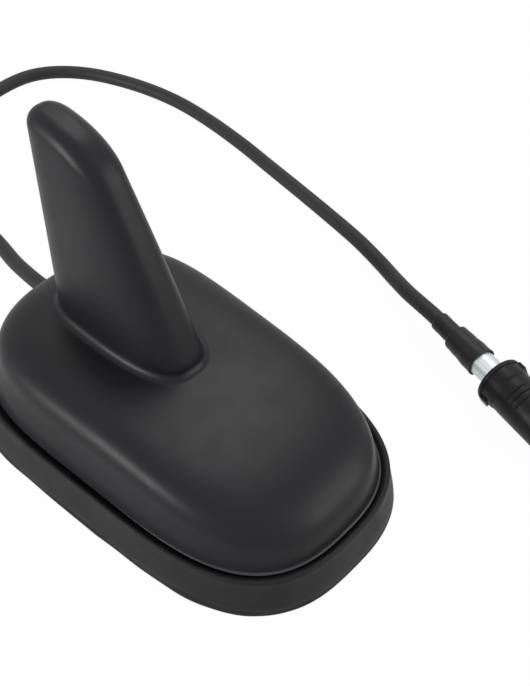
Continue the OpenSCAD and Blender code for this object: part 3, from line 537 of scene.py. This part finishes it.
def smooth_by_angle(obj, degrees):
    """Shades smooth, with sharp edges where faces meet at more than an angle."""
    limit = math.radians(degrees)
    work = bmesh.new()
    work.from_mesh(obj.data)
    for face in work.faces:
        face.smooth = True
    for edge in work.edges:
        edge.smooth = len(edge.link_faces) == 2 and edge.calc_face_angle(0) < limit
    work.to_mesh(obj.data)
    work.free()


def finish_piece(obj, nodes):
    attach(obj, BODY)
    if nodes:
        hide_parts(*nodes)


# Foot and cover shapes

def signed_power(value, power):
    """A power that keeps the sign."""
    return math.copysign(abs(value) ** power, value)


def outline_angle(i):
    return 2 * math.pi * (i + 0.5) / OUTLINE


def foot_point(i, inset):
    """A point of the foot's superellipse, moved in by an inset and narrower towards the front."""
    a = outline_angle(i)
    x = (BASE_L / 2 - inset) * signed_power(math.cos(a), 2 / END_POWER)
    y = (BASE_W / 2 - inset) * signed_power(math.sin(a), 2 / SIDE_POWER)
    return x, y * (1 - FRONT_TAPER * 2 * x / BASE_L)


def foot_ring(inset, z):
    return [Vector((*foot_point(i, inset), z)) for i in range(OUTLINE)]


def fin_half(z):
    """Half the fin's width at a height."""
    s = (z - ROOT_Z) / (TIP_Z - ROOT_Z)
    return (FIN_ROOT_W + (FIN_TOP_W - FIN_ROOT_W) * s) / 2


def oval_point(i, rear, front, half):
    """A point of the fin's section, widest behind its middle and blunter in front."""
    a = outline_angle(i)
    widest = rear + (front - rear) * FIN_WIDEST
    reach = front - widest if math.cos(a) > 0 else widest - rear
    power = NOSE_POWER if math.cos(a) > 0 else FIN_POWER
    return (widest + reach * signed_power(math.cos(a), 2 / power),
            half * signed_power(math.sin(a), 2 / power))


def lead_x(t):
    return FIN_FRONT_X + (BEND_X - FIN_FRONT_X) * t + LEAD_BULGE * math.sin(math.pi * t)


def lead_z(t):
    return SIDE_Z + (BEND_Z - TOP_ROUND - SIDE_Z) * t


def rear_x(t):
    return FIN_REAR_X + (TIP_X - FIN_REAR_X) * t


def rear_z(t):
    return SIDE_Z + (TIP_Z - TOP_ROUND - SIDE_Z) * t


def fin_ring(t, inset, lift, nose=0.0, tail=0.0):
    """One tilted ring of the fin, moved in by inset, raised by lift, its ends moved by nose and tail."""
    ring = []
    front = lead_x(t) - inset - nose
    rear = rear_x(t) + inset - tail
    for i in range(OUTLINE):
        x, _ = oval_point(i, rear, front, 1)
        s = (lead_x(t) - x) / (lead_x(t) - rear_x(t))
        z = lead_z(t) + (rear_z(t) - lead_z(t)) * s + TOP_BULGE * t * t * math.sin(math.pi * s)
        x, y = oval_point(i, rear, front, fin_half(z) - inset)
        ring.append(Vector((x, y, z + lift)))
    return ring


def top_ring(a):
    """The rounded top of the fin, from its sides over to its crown."""
    back = 1 - math.cos(a)
    lift = TOP_ROUND * math.sin(a)
    side_lean = (FIN_ROOT_W - FIN_TOP_W) / 2 / (TIP_Z - ROOT_Z)
    front_lean = (FIN_FRONT_X - BEND_X + math.pi * LEAD_BULGE) / (BEND_Z - TOP_ROUND - SIDE_Z)
    rear_lean = (FIN_REAR_X - TIP_X) / (TIP_Z - TOP_ROUND - SIDE_Z)
    nose = (BEND_ROUND - TOP_ROUND) * back + lift * (front_lean - side_lean)
    tail = lift * (rear_lean + side_lean)
    return fin_ring(1, TOP_ROUND * back + lift * side_lean, lift, nose, tail)


def root_ring(reach, z):
    """A level ring around the fin's root."""
    rear = FIN_REAR_X - reach
    front = FIN_FRONT_X + reach
    half = fin_half(SIDE_Z) + reach
    return [Vector((*oval_point(i, rear, front, half), z)) for i in range(OUTLINE)]


def front_share(x):
    """0 along the middle and rear of the foot, rising to 1 at its front."""
    return max(0, 2 * x / BASE_L) ** 3


def arched(ring):
    """Raises a ring from its ends to its middle, and lets it fall towards the front."""
    raised = []
    for p in ring:
        rise = SHOULDER_ARCH * (1 - (2 * p.x / BASE_L) ** 2) - FRONT_DROP * front_share(p.x)
        raised.append(p + Vector((0, 0, rise)))
    return raised


def flank_ring(share, depth):
    """The leaning flank at a share of the shoulder's height; depth is the wall behind it."""
    ring = []
    for i in range(OUTLINE):
        x, _ = foot_point(i, EDGE_INSET)
        ease = FRONT_EASE * front_share(x) if share < 1 else 0
        z = FLANK_LOW + (SHOULDER_Z - FLANK_LOW) * share * (1 - ease)
        ring.append(Vector((*foot_point(i, EDGE_INSET + (z - FLANK_LOW) * FLANK_LEAN + depth), z)))
    return ring


def lip_ring(inset, z, share):
    """The fine lip along the cover's edge, fullest at the front; share climbs its upper face."""
    ring = []
    for i in range(OUTLINE):
        x, _ = foot_point(i, EDGE_INSET)
        lip = LIP_LEAST + LIP_MORE * min(1, max(0, (x - LIP_START_X) / LIP_GROWTH))
        x, y = foot_point(i, EDGE_INSET - lip * (1 - share) + inset)
        ring.append(Vector((x, y, z + lip * LIP_RISE * share)))
    return ring


def level_ring(depth):
    """The ring that pulls the deck level on its way to the fin."""
    z = ROOT_Z - DECK_CROWN * DECK_FALL - depth
    pairs = zip(foot_ring(EDGE_INSET + depth, z), root_ring(ROOT_FILLET, z))
    return [a.lerp(b, DECK_BEND) for a, b in pairs]


def deck_ring(t, depth):
    """The deck from the flank (0) to the fin's root (1), a cubic sweep of four rings."""
    fall = Vector((0, 0, -depth))
    rings = [[p + fall / 2 for p in flank_ring(FLANK_SHARE, depth)],
             [p + fall for p in arched(flank_ring(1, depth))],
             arched(level_ring(depth)),
             root_ring(-depth if depth else ROOT_FILLET, ROOT_Z - depth)]
    shares = [(1 - t) ** 3, 3 * t * (1 - t) ** 2, 3 * t * t * (1 - t), t ** 3]
    return [sum((p * share for p, share in zip(points, shares)), Vector())
            for points in zip(*rings)]


def steps(low, high, count):
    """Both ends and the even steps between them."""
    return [low + (high - low) * k / count for k in range(count + 1)]


def cap_strips(first, upward):
    """Strips across the fin's top ring, from one side to its mirror image."""
    faces = []
    for i in range(OUTLINE // 2 - 1):
        a = first + i
        b = a + 1
        d = first + OUTLINE - 1 - i
        c = d - 1
        faces.append((a, b, c, d) if upward else (d, c, b, a))
    return faces


def make_cover(material):
    """The moulded cover with its fin: outer skin up, inner skin back down, four screw bosses."""
    quarter = math.pi / 2
    wall_in = EDGE_INSET + FOOT_UNDERCUT
    outer = [foot_ring(wall_in, LEDGE_Z), foot_ring(wall_in, EDGE_Z - 0.5),
             foot_ring(wall_in - 0.1, EDGE_Z - 0.4)]
    outer += [lip_ring(EDGE_ROUND * (1 - math.sin(a)), EDGE_Z - EDGE_ROUND * math.cos(a), 0)
              for a in steps(0, quarter, 5)]
    outer += [lip_ring(0, EDGE_Z, s) for s in (0.1, 0.5, 0.9)]
    outer += [flank_ring(FLANK_SHARE * s, 0) for s in steps(0.25, 1, 4)[:-1]]
    outer += [deck_ring(t, 0) for t in steps(0, 1, 34)[:-1]]
    outer += [root_ring(ROOT_FILLET * (1 - math.sin(a)), ROOT_Z + ROOT_FILLET * (1 - math.cos(a)))
              for a in steps(0, quarter, 10)]
    outer += [fin_ring(t, 0, 0) for t in steps(0, 1, 30)[1:]]
    outer += [top_ring(a) for a in steps(0, quarter, 16)[1:]]
    inner = [fin_ring(1, WALL, TOP_ROUND - WALL, (BEND_ROUND - TOP_ROUND) / 2)]
    inner += [fin_ring(t, WALL, 0) for t in steps(1, 0, 8)[1:-1]]
    inner += [deck_ring(t, WALL) for t in steps(1, 0, 12)]
    shelf_in = wall_in + WALL + SHELF_REACH
    inner += [foot_ring(EDGE_INSET + WALL + 0.1, SHELF_Z + SHELF_T),
              foot_ring(shelf_in, SHELF_Z + SHELF_T), foot_ring(shelf_in, SHELF_Z),
              foot_ring(wall_in + WALL, SHELF_Z), foot_ring(wall_in + WALL, LEDGE_Z)]
    rings = outer + inner
    top = len(outer) - 1
    faces = [f for f in bridge(len(rings), OUTLINE, True)
             if not (top * OUTLINE <= f[0] < (top + 1) * OUTLINE)]
    faces += cap_strips(top * OUTLINE, True) + cap_strips((top + 1) * OUTLINE, False)
    points = [p * MM for ring in rings for p in ring]
    for x in (-BOSS_X, BOSS_X):
        for y in (-BOSS_Y, BOSS_Y):
            add_boss(points, faces, x, y)
    cover = add_piece("cover_skin", points, faces, material)
    smooth_by_angle(cover, 50)
    finish_piece(cover, ["cover"])


def add_boss(points, faces, x, y):
    """A tubular screw boss that ends inside the deck's wall."""
    sides = 32
    hole_r = BOSS_HOLE_D / 2
    boss_r = BOSS_D / 2
    profile = [(hole_r, BOSS_Z + BOSS_GRIP), (hole_r, BOSS_Z), (boss_r, BOSS_Z), (boss_r, BOSS_TOP)]
    start = len(points)
    for r, z in profile:
        for k in range(sides):
            a = 2 * math.pi * k / sides
            points.append(Vector((x + r * math.cos(a), y + r * math.sin(a), z)) * MM)
    faces.extend(tuple(start + v for v in f) for f in bridge(len(profile), sides, False))
    faces.append(tuple(start + k for k in range(sides)))
    faces.append(tuple(start + 3 * sides + k for k in range(sides)))


def make_gasket(material):
    """The rubber foot: uneven lower lip, leaning face, rounded top, groove, ledge and flange."""
    def lip(i, inset, z):
        x, y = foot_point(i, inset)
        wave = math.sin(x * 0.19 + 1.3) + 0.6 * math.sin(x * 0.43 + y * 0.2)
        return Vector((x * (1 + 0.0012 * wave), y * (1 + 0.003 * wave), z))

    rings = [foot_ring(0.3, 0)]
    for inset, z in ((0.05, 0.35), (0, 0.8), (0.12, 1.25)):
        rings.append([lip(i, inset, z) for i in range(OUTLINE)])
    rings.append(foot_ring(0.3, 1.7))
    face_low = 2.2
    face_high = GASKET_H - 1.1
    rings += [foot_ring(GASKET_LEAN * (0.15 + 0.85 * s), face_low + (face_high - face_low) * s)
              for s in steps(0, 1, 8)]
    crest_z = GASKET_H - CREST_ROUND
    for a in steps(math.pi / 12, math.pi / 2, 7):
        inset = GASKET_LEAN + CREST_ROUND * (1 - math.cos(a))
        rings.append(foot_ring(inset, crest_z + CREST_ROUND * math.sin(a)))
    start = GASKET_LEAN + CREST_ROUND
    drop = GASKET_H - LEDGE_Z - FIT_GAP
    for s in steps(0, 1, 8)[1:]:
        z = GASKET_H - drop * (1.6 * s * s - 0.6 * s ** 4)
        rings.append(foot_ring(start + (EDGE_INSET - start) * s, z))
    flange = GASKET_RING + FLANGE_REACH
    rings += [foot_ring(EDGE_INSET + 0.3, LEDGE_Z), foot_ring(GASKET_RING, LEDGE_Z),
              foot_ring(GASKET_RING, PAD_T), foot_ring(flange, PAD_T), foot_ring(flange, 0)]
    points = [p * MM for ring in rings for p in ring]
    gasket = add_piece("gasket_ring", points, bridge(len(rings), OUTLINE, True), material)
    hole_from = -BASE_L / 2 - 2
    hole_to = -BASE_L / 2 + GASKET_RING + 2
    profile = [(hole_from, 0), (hole_from, GROMMET_R), (hole_to, GROMMET_R), (hole_to, 0)]
    outlet = Matrix.Translation((0, OUTLET_Y, OUTLET_Z))
    hole = turned_piece("hole", profile, material, 48, outlet)
    cut_with(gasket, [hole])
    smooth_by_angle(gasket, 40)
    finish_piece(gasket, ["gasket"])


# Turned pieces

def turned_piece(name, profile, material, sides=96, place=None):
    """A solid turned about +X from stations and radii; a radius of 0 closes an end."""
    place = place or plug_place()
    points = []
    rings = []
    for station, radius in profile:
        if radius == 0:
            rings.append([len(points)])
            points.append(Vector((station, 0, 0)))
            continue
        first = len(points)
        rings.append(list(range(first, first + sides)))
        for k in range(sides):
            a = 2 * math.pi * k / sides
            points.append(Vector((station, radius * math.cos(a), radius * math.sin(a))))
    faces = []
    closed = profile[0][1] != 0
    for n in range(len(rings) - (0 if closed else 1)):
        a = rings[n]
        b = rings[(n + 1) % len(rings)]
        for k in range(sides):
            j = (k + 1) % sides
            quad = [a[k % len(a)], a[j % len(a)], b[j % len(b)], b[k % len(b)]]
            faces.append(tuple(dict.fromkeys(reversed(quad))))
    points = [(place @ p) * MM for p in points]
    piece = add_piece(name, points, faces, material)
    work = bmesh.new()
    work.from_mesh(piece.data)
    bmesh.ops.recalc_face_normals(work, faces=work.faces)
    work.to_mesh(piece.data)
    work.free()
    return piece


def plug_place():
    """The plug's own frame, in millimetres; +X runs along it towards its nose."""
    turn = Matrix.Rotation(PLUG_TURN, 4, "Z")
    return Matrix.Translation(PLUG_AT) @ turn @ Matrix.Rotation(PLUG_ROLL, 4, "X")


def rounded_corner(x, r, dx, dr, count=4):
    """A quarter round from (x, r) towards (x + dx, r + dr), leaving along the radius."""
    return [(x + dx * (1 - math.cos(a)), r + dr * math.sin(a))
            for a in steps(0, math.pi / 2, count)]


def make_cable(material):
    """The cable as one smooth open curve along the route."""
    points = [Vector(p) for p in ROUTE]
    path = []
    for k in range(len(points) - 1):
        p0 = points[max(k - 1, 0)]
        p1 = points[k]
        p2 = points[k + 1]
        p3 = points[min(k + 2, len(points) - 1)]
        for n in range(STEPS_PER_SPAN):
            t = n / STEPS_PER_SPAN
            path.append(0.5 * (2 * p1 + (p2 - p0) * t + (2 * p0 - 5 * p1 + 4 * p2 - p3) * t ** 2
                               + (3 * p1 - p0 - 3 * p2 + p3) * t ** 3))
    path.append(points[-1])
    data = bpy.data.curves.new("cable_run", "CURVE")
    data.dimensions = "3D"
    data.bevel_depth = CABLE_D * MM / 2
    data.bevel_resolution = 8
    data.use_fill_caps = True
    spline = data.splines.new("POLY")
    spline.points.add(len(path) - 1)
    for point, place in zip(spline.points, path):
        point.co = (*place, 1)
    spline.use_smooth = True
    data.materials.append(material)
    cable = link(bpy.data.objects.new("cable_run", data))
    finish_piece(cable, ["coax_cable"])
    return cable


def make_sleeves(material):
    """Two shrink sleeves, drawn in at their ends and slightly uneven where they shrank."""
    bore = CABLE_D / 2 + SLEEVE_GAP
    r = SMALL_SLEEVE_D / 2
    start = SMALL_SLEEVE_START
    small = [(start, bore)] + rounded_corner(start, bore + 0.1, 0.25, r - bore - 0.1)
    small += [(start + 1.6, r + 0.03), (start + 3.2, r - 0.02), (start + 5.2, r + 0.03)]
    small += [(SMALL_SLEEVE_END, r), (SMALL_SLEEVE_END, bore)]
    small_piece = turned_piece("small_shrink", small, material)
    smooth_by_angle(small_piece, 50)
    finish_piece(small_piece, ["sleeve_small"])
    outer = LARGE_SLEEVE_D / 2
    skin = outer - FERRULE_D / 2 - SLEEVE_GAP
    neck = SMALL_SLEEVE_D / 2 + SLEEVE_GAP
    rear_r = SLEEVE_NECK_D / 2
    mouth = LARGE_SLEEVE_END
    flare = SLEEVE_FLARE / 2
    ferrule_start = LARGE_SLEEVE_END - FERRULE_IN
    large = [(SLEEVE_JOIN, neck)] + rounded_corner(SLEEVE_JOIN, rear_r - 0.75, 0.9, 0.75, 6)
    taper_start = SLEEVE_JOIN + 2.2
    taper = mouth - 3 - taper_start
    large += [(taper_start, rear_r + 0.02)]
    large += [(taper_start + taper * s, rear_r + (outer - rear_r) * s + 0.05 * math.sin(9 * s))
              for s in steps(0.1, 1, 8)]
    large += [(mouth - 2 + 2 * s, outer + flare * s * s) for s in steps(0, 1, 6)]
    large += [(mouth, outer + flare - skin + 0.1), (mouth - 0.4, outer + flare * 0.6 - skin),
              (mouth - 2, outer - skin), (ferrule_start - FIT_GAP, outer - skin),
              (ferrule_start - FIT_GAP, rear_r - skin), (SMALL_SLEEVE_END, neck)]
    large_piece = turned_piece("large_shrink", large, material)
    smooth_by_angle(large_piece, 50)
    finish_piece(large_piece, ["sleeve_large"])
    return [small_piece, large_piece]


def make_ferrule(material):
    """Bright crimp tube, pressed six-sided over the cable's braid."""
    bore = CABLE_D / 2 + SLEEVE_GAP
    r = FERRULE_D / 2
    start = LARGE_SLEEVE_END - FERRULE_IN
    flats_end = COLLAR_START - 0.9
    profile = [(start, bore), (start, r - 0.15), (start + 0.15, r)]
    profile += [(start + (flats_end - start) * s, r) for s in steps(0, 1, 6)[1:]]
    profile += [(flats_end + 0.5, r), (FERRULE_END, r), (FERRULE_END, bore)]
    ferrule = turned_piece("crimp_tube", profile, material, 144)
    press_flats(ferrule, start + 0.1, flats_end + 0.1, r)
    smooth_by_angle(ferrule, 12)
    finish_piece(ferrule, ["plug_ferrule"])
    return ferrule


def press_flats(piece, low, high, r):
    """Presses six shallow flats into a turned tube between two stations."""
    back = plug_place().inverted() @ Matrix.Scale(1 / MM, 4)
    ahead = back.inverted()
    for vertex in piece.data.vertices:
        p = back @ vertex.co
        reach = math.hypot(p.y, p.z)
        if low < p.x < high and reach > r - 0.2:
            a = math.atan2(p.z, p.y) % (math.pi / 3) - math.pi / 6
            flat = min(r, (r - FLAT_DEPTH) / math.cos(a))
            p.y *= flat / reach
            p.z *= flat / reach
            vertex.co = ahead @ p
    piece.data.update()


def make_housing(material):
    """Plug housing: collar with a rear rim and two windows, body, stepped nose and socket."""
    bore = FERRULE_D / 2 + FIT_GAP
    rim = COLLAR_D / 2
    body = HOUSING_D / 2
    nose = HOUSING_END - 6
    x0 = COLLAR_START
    x1 = COLLAR_START + COLLAR_L
    outer = [(x0, bore), (x0, rim - 1)]
    outer += rounded_corner(x0, rim - 0.8, 0.8, 0.8, 7)
    outer += [(x0 + 1.3, rim), (x0 + 1.42, rim - 0.06), (x0 + 1.5, rim - 0.3)]
    outer += [(x1 - 0.3, rim - 0.3)]
    outer += [(x1, rim - 0.35), (x1 + 0.3, body - 0.02), (x1 + 0.8, body - 0.06)]
    outer += [(x1 + 1.9, body), (nose - 0.4, body), (nose - 0.1, body - 0.12), (nose, body - 0.4)]
    outer += [(nose, body - 1), (HOUSING_END - 0.6, body - 1), (HOUSING_END - 0.15, body - 1.2),
              (HOUSING_END, body - 1.5)]
    socket_r = SOCKET_D / 2
    pin_r = PIN_SLEEVE_D / 2 + FIT_GAP
    inner = [(HOUSING_END, socket_r + 0.15), (HOUSING_END - 0.2, socket_r),
             (SOCKET_FLOOR, socket_r), (SOCKET_FLOOR, pin_r),
             (FERRULE_END + FIT_GAP, pin_r), (FERRULE_END + FIT_GAP, bore)]
    housing = turned_piece("plug_body", outer + inner, material)
    tools = []
    for side in (-1, 1):
        centre = Vector((x0 + COLLAR_L / 2, side * rim, 0))
        tools.append(block("window", centre, (WINDOW_L, WINDOW_W, WINDOW_W), material))
    cut_with(housing, tools)
    smooth_by_angle(housing, 40)
    finish_piece(housing, ["plug_housing"])
    return housing


def block(name, centre, size, material):
    """A closed block in the plug's own frame."""
    place = plug_place()
    points = []
    for x in (-0.5, 0.5):
        for y in (-0.5, 0.5):
            for z in (-0.5, 0.5):
                corner = centre + Vector((x * size[0], y * size[1], z * size[2]))
                points.append((place @ corner) * MM)
    faces = [(0, 1, 3, 2), (4, 6, 7, 5), (0, 4, 5, 1), (2, 3, 7, 6), (0, 2, 6, 4), (1, 5, 7, 3)]
    return add_piece(name, points, faces, material, smooth=False)


def rib_tree(material):
    """A node tree that lays arc-shaped grip ribs side by side along +X."""
    tree = bpy.data.node_groups.new("grip_ribs", "GeometryNodeTree")
    face = tree.interface
    face.new_socket("Geometry", in_out="OUTPUT", socket_type="NodeSocketGeometry")
    for name in ("Radius", "Sweep", "Start Angle", "Pitch", "Thickness", "Count"):
        kind = "NodeSocketInt" if name == "Count" else "NodeSocketFloat"
        face.new_socket(name, in_out="INPUT", socket_type=kind)
    nodes = tree.nodes
    given = nodes.new("NodeGroupInput")
    out = nodes.new("NodeGroupOutput")
    arc = nodes.new("GeometryNodeCurveArc")
    arc.inputs["Resolution"].default_value = 24
    round_profile = nodes.new("GeometryNodeCurvePrimitiveCircle")
    round_profile.inputs["Resolution"].default_value = 10
    sweep = nodes.new("GeometryNodeCurveToMesh")
    sweep.inputs["Fill Caps"].default_value = True
    upright = nodes.new("GeometryNodeTransform")
    upright.inputs["Rotation"].default_value = (math.pi / 2, 0, math.pi / 2)
    line = nodes.new("GeometryNodeMeshLine")
    offset = nodes.new("ShaderNodeCombineXYZ")
    place = nodes.new("GeometryNodeInstanceOnPoints")
    real = nodes.new("GeometryNodeRealizeInstances")
    paint = nodes.new("GeometryNodeSetMaterial")
    paint.inputs["Material"].default_value = material
    wire = tree.links.new
    wire(given.outputs["Radius"], arc.inputs["Radius"])
    wire(given.outputs["Sweep"], arc.inputs["Sweep Angle"])
    wire(given.outputs["Start Angle"], arc.inputs["Start Angle"])
    wire(given.outputs["Thickness"], round_profile.inputs["Radius"])
    wire(arc.outputs["Curve"], sweep.inputs["Curve"])
    wire(round_profile.outputs["Curve"], sweep.inputs["Profile Curve"])
    wire(sweep.outputs["Mesh"], upright.inputs["Geometry"])
    wire(given.outputs["Count"], line.inputs["Count"])
    wire(given.outputs["Pitch"], offset.inputs["X"])
    wire(offset.outputs["Vector"], line.inputs["Offset"])
    wire(line.outputs["Mesh"], place.inputs["Points"])
    wire(upright.outputs["Geometry"], place.inputs["Instance"])
    wire(place.outputs["Instances"], real.inputs["Geometry"])
    wire(real.outputs["Geometry"], paint.inputs["Geometry"])
    wire(paint.outputs["Geometry"], out.inputs["Geometry"])
    return tree


def make_ribs(material):
    """Grip ribs on both sides of the plug's body, as one piece."""
    tree = rib_tree(material)
    names = {item.name: item.identifier for item in tree.interface.items_tree
             if item.in_out == "INPUT"}
    holder = link(bpy.data.objects.new("grip_ribs", bpy.data.meshes.new("grip_ribs")))
    modifier = holder.modifiers.new("ribs", "NODES")
    modifier.node_group = tree
    modifier[names["Radius"]] = (HOUSING_D / 2 + RIB_LIFT) * MM
    modifier[names["Sweep"]] = math.radians(2 * RIB_REACH)
    modifier[names["Start Angle"]] = math.radians(90 - RIB_REACH)
    modifier[names["Pitch"]] = RIB_PITCH * MM
    modifier[names["Thickness"]] = RIB_H * MM
    modifier[names["Count"]] = RIB_COUNT
    plain_mesh(holder)
    start = COLLAR_START + COLLAR_L + RIB_START + RIB_H
    place = Matrix.Translation(PLUG_AT * MM) @ plug_place().to_3x3().to_4x4()
    shift = Matrix.Translation((start * MM, 0, 0))
    first = holder.data
    first.transform(place @ shift)
    second = first.copy()
    second.transform(place @ Matrix.Rotation(math.pi, 4, "X") @ place.inverted())
    joined = bmesh.new()
    joined.from_mesh(first)
    joined.from_mesh(second)
    for f in joined.faces:
        f.smooth = True
    joined.to_mesh(first)
    joined.free()
    bpy.data.meshes.remove(second)
    finish_piece(holder, [])
    return holder


# Finishes of the carried-over nodes

NODE_FINISH = {
    "cover_seal": "seal", "base_plate": "cast", "adhesive_pad": "foam",
    "circuit_board": "laminate", "shield_can": "tinned", "amplifier_chip": "chip",
    "board_capacitors": "fired", "coil_former": "spool", "loading_coil": "copper",
    "aerial_board": "laminate", "aerial_element": "brass", "aerial_brackets": "tinned",
    "board_screws": "screw", "cover_screws": "screw", "cable_grommet": "grommet",
    "inner_lead": "jacket", "cable_crimp": "tinned", "signal_wire": "copper",
    "cable_clamp": "tinned", "clamp_screw": "screw", "plug_lock": "housing",
    "plug_insulator": "insulator", "plug_contact": "brass"}


def dress_nodes(materials):
    for node, finish in NODE_FINISH.items():
        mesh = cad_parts[node].data
        mesh.materials.clear()
        mesh.materials.append(materials[finish])


bpy.context.scene.view_settings.view_transform = "Standard"
make_camera()
paints = make_materials()
cable = make_cable(paints["jacket"])
sleeves = make_sleeves(paints["shrink"])
ferrule = make_ferrule(paints["ferrule"])
housing = make_housing(paints["housing"])
ribs = make_ribs(paints["housing"])
on_cable = sleeves + [ferrule, housing, ribs]
on_cable += [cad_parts[name]
             for name in ("cable_grommet", "plug_lock", "plug_insulator", "plug_contact")]
make_cover(paints["cover"])
make_gasket(paints["gasket"])
dress_nodes(paints)
make_world()
make_floor()
make_lights()
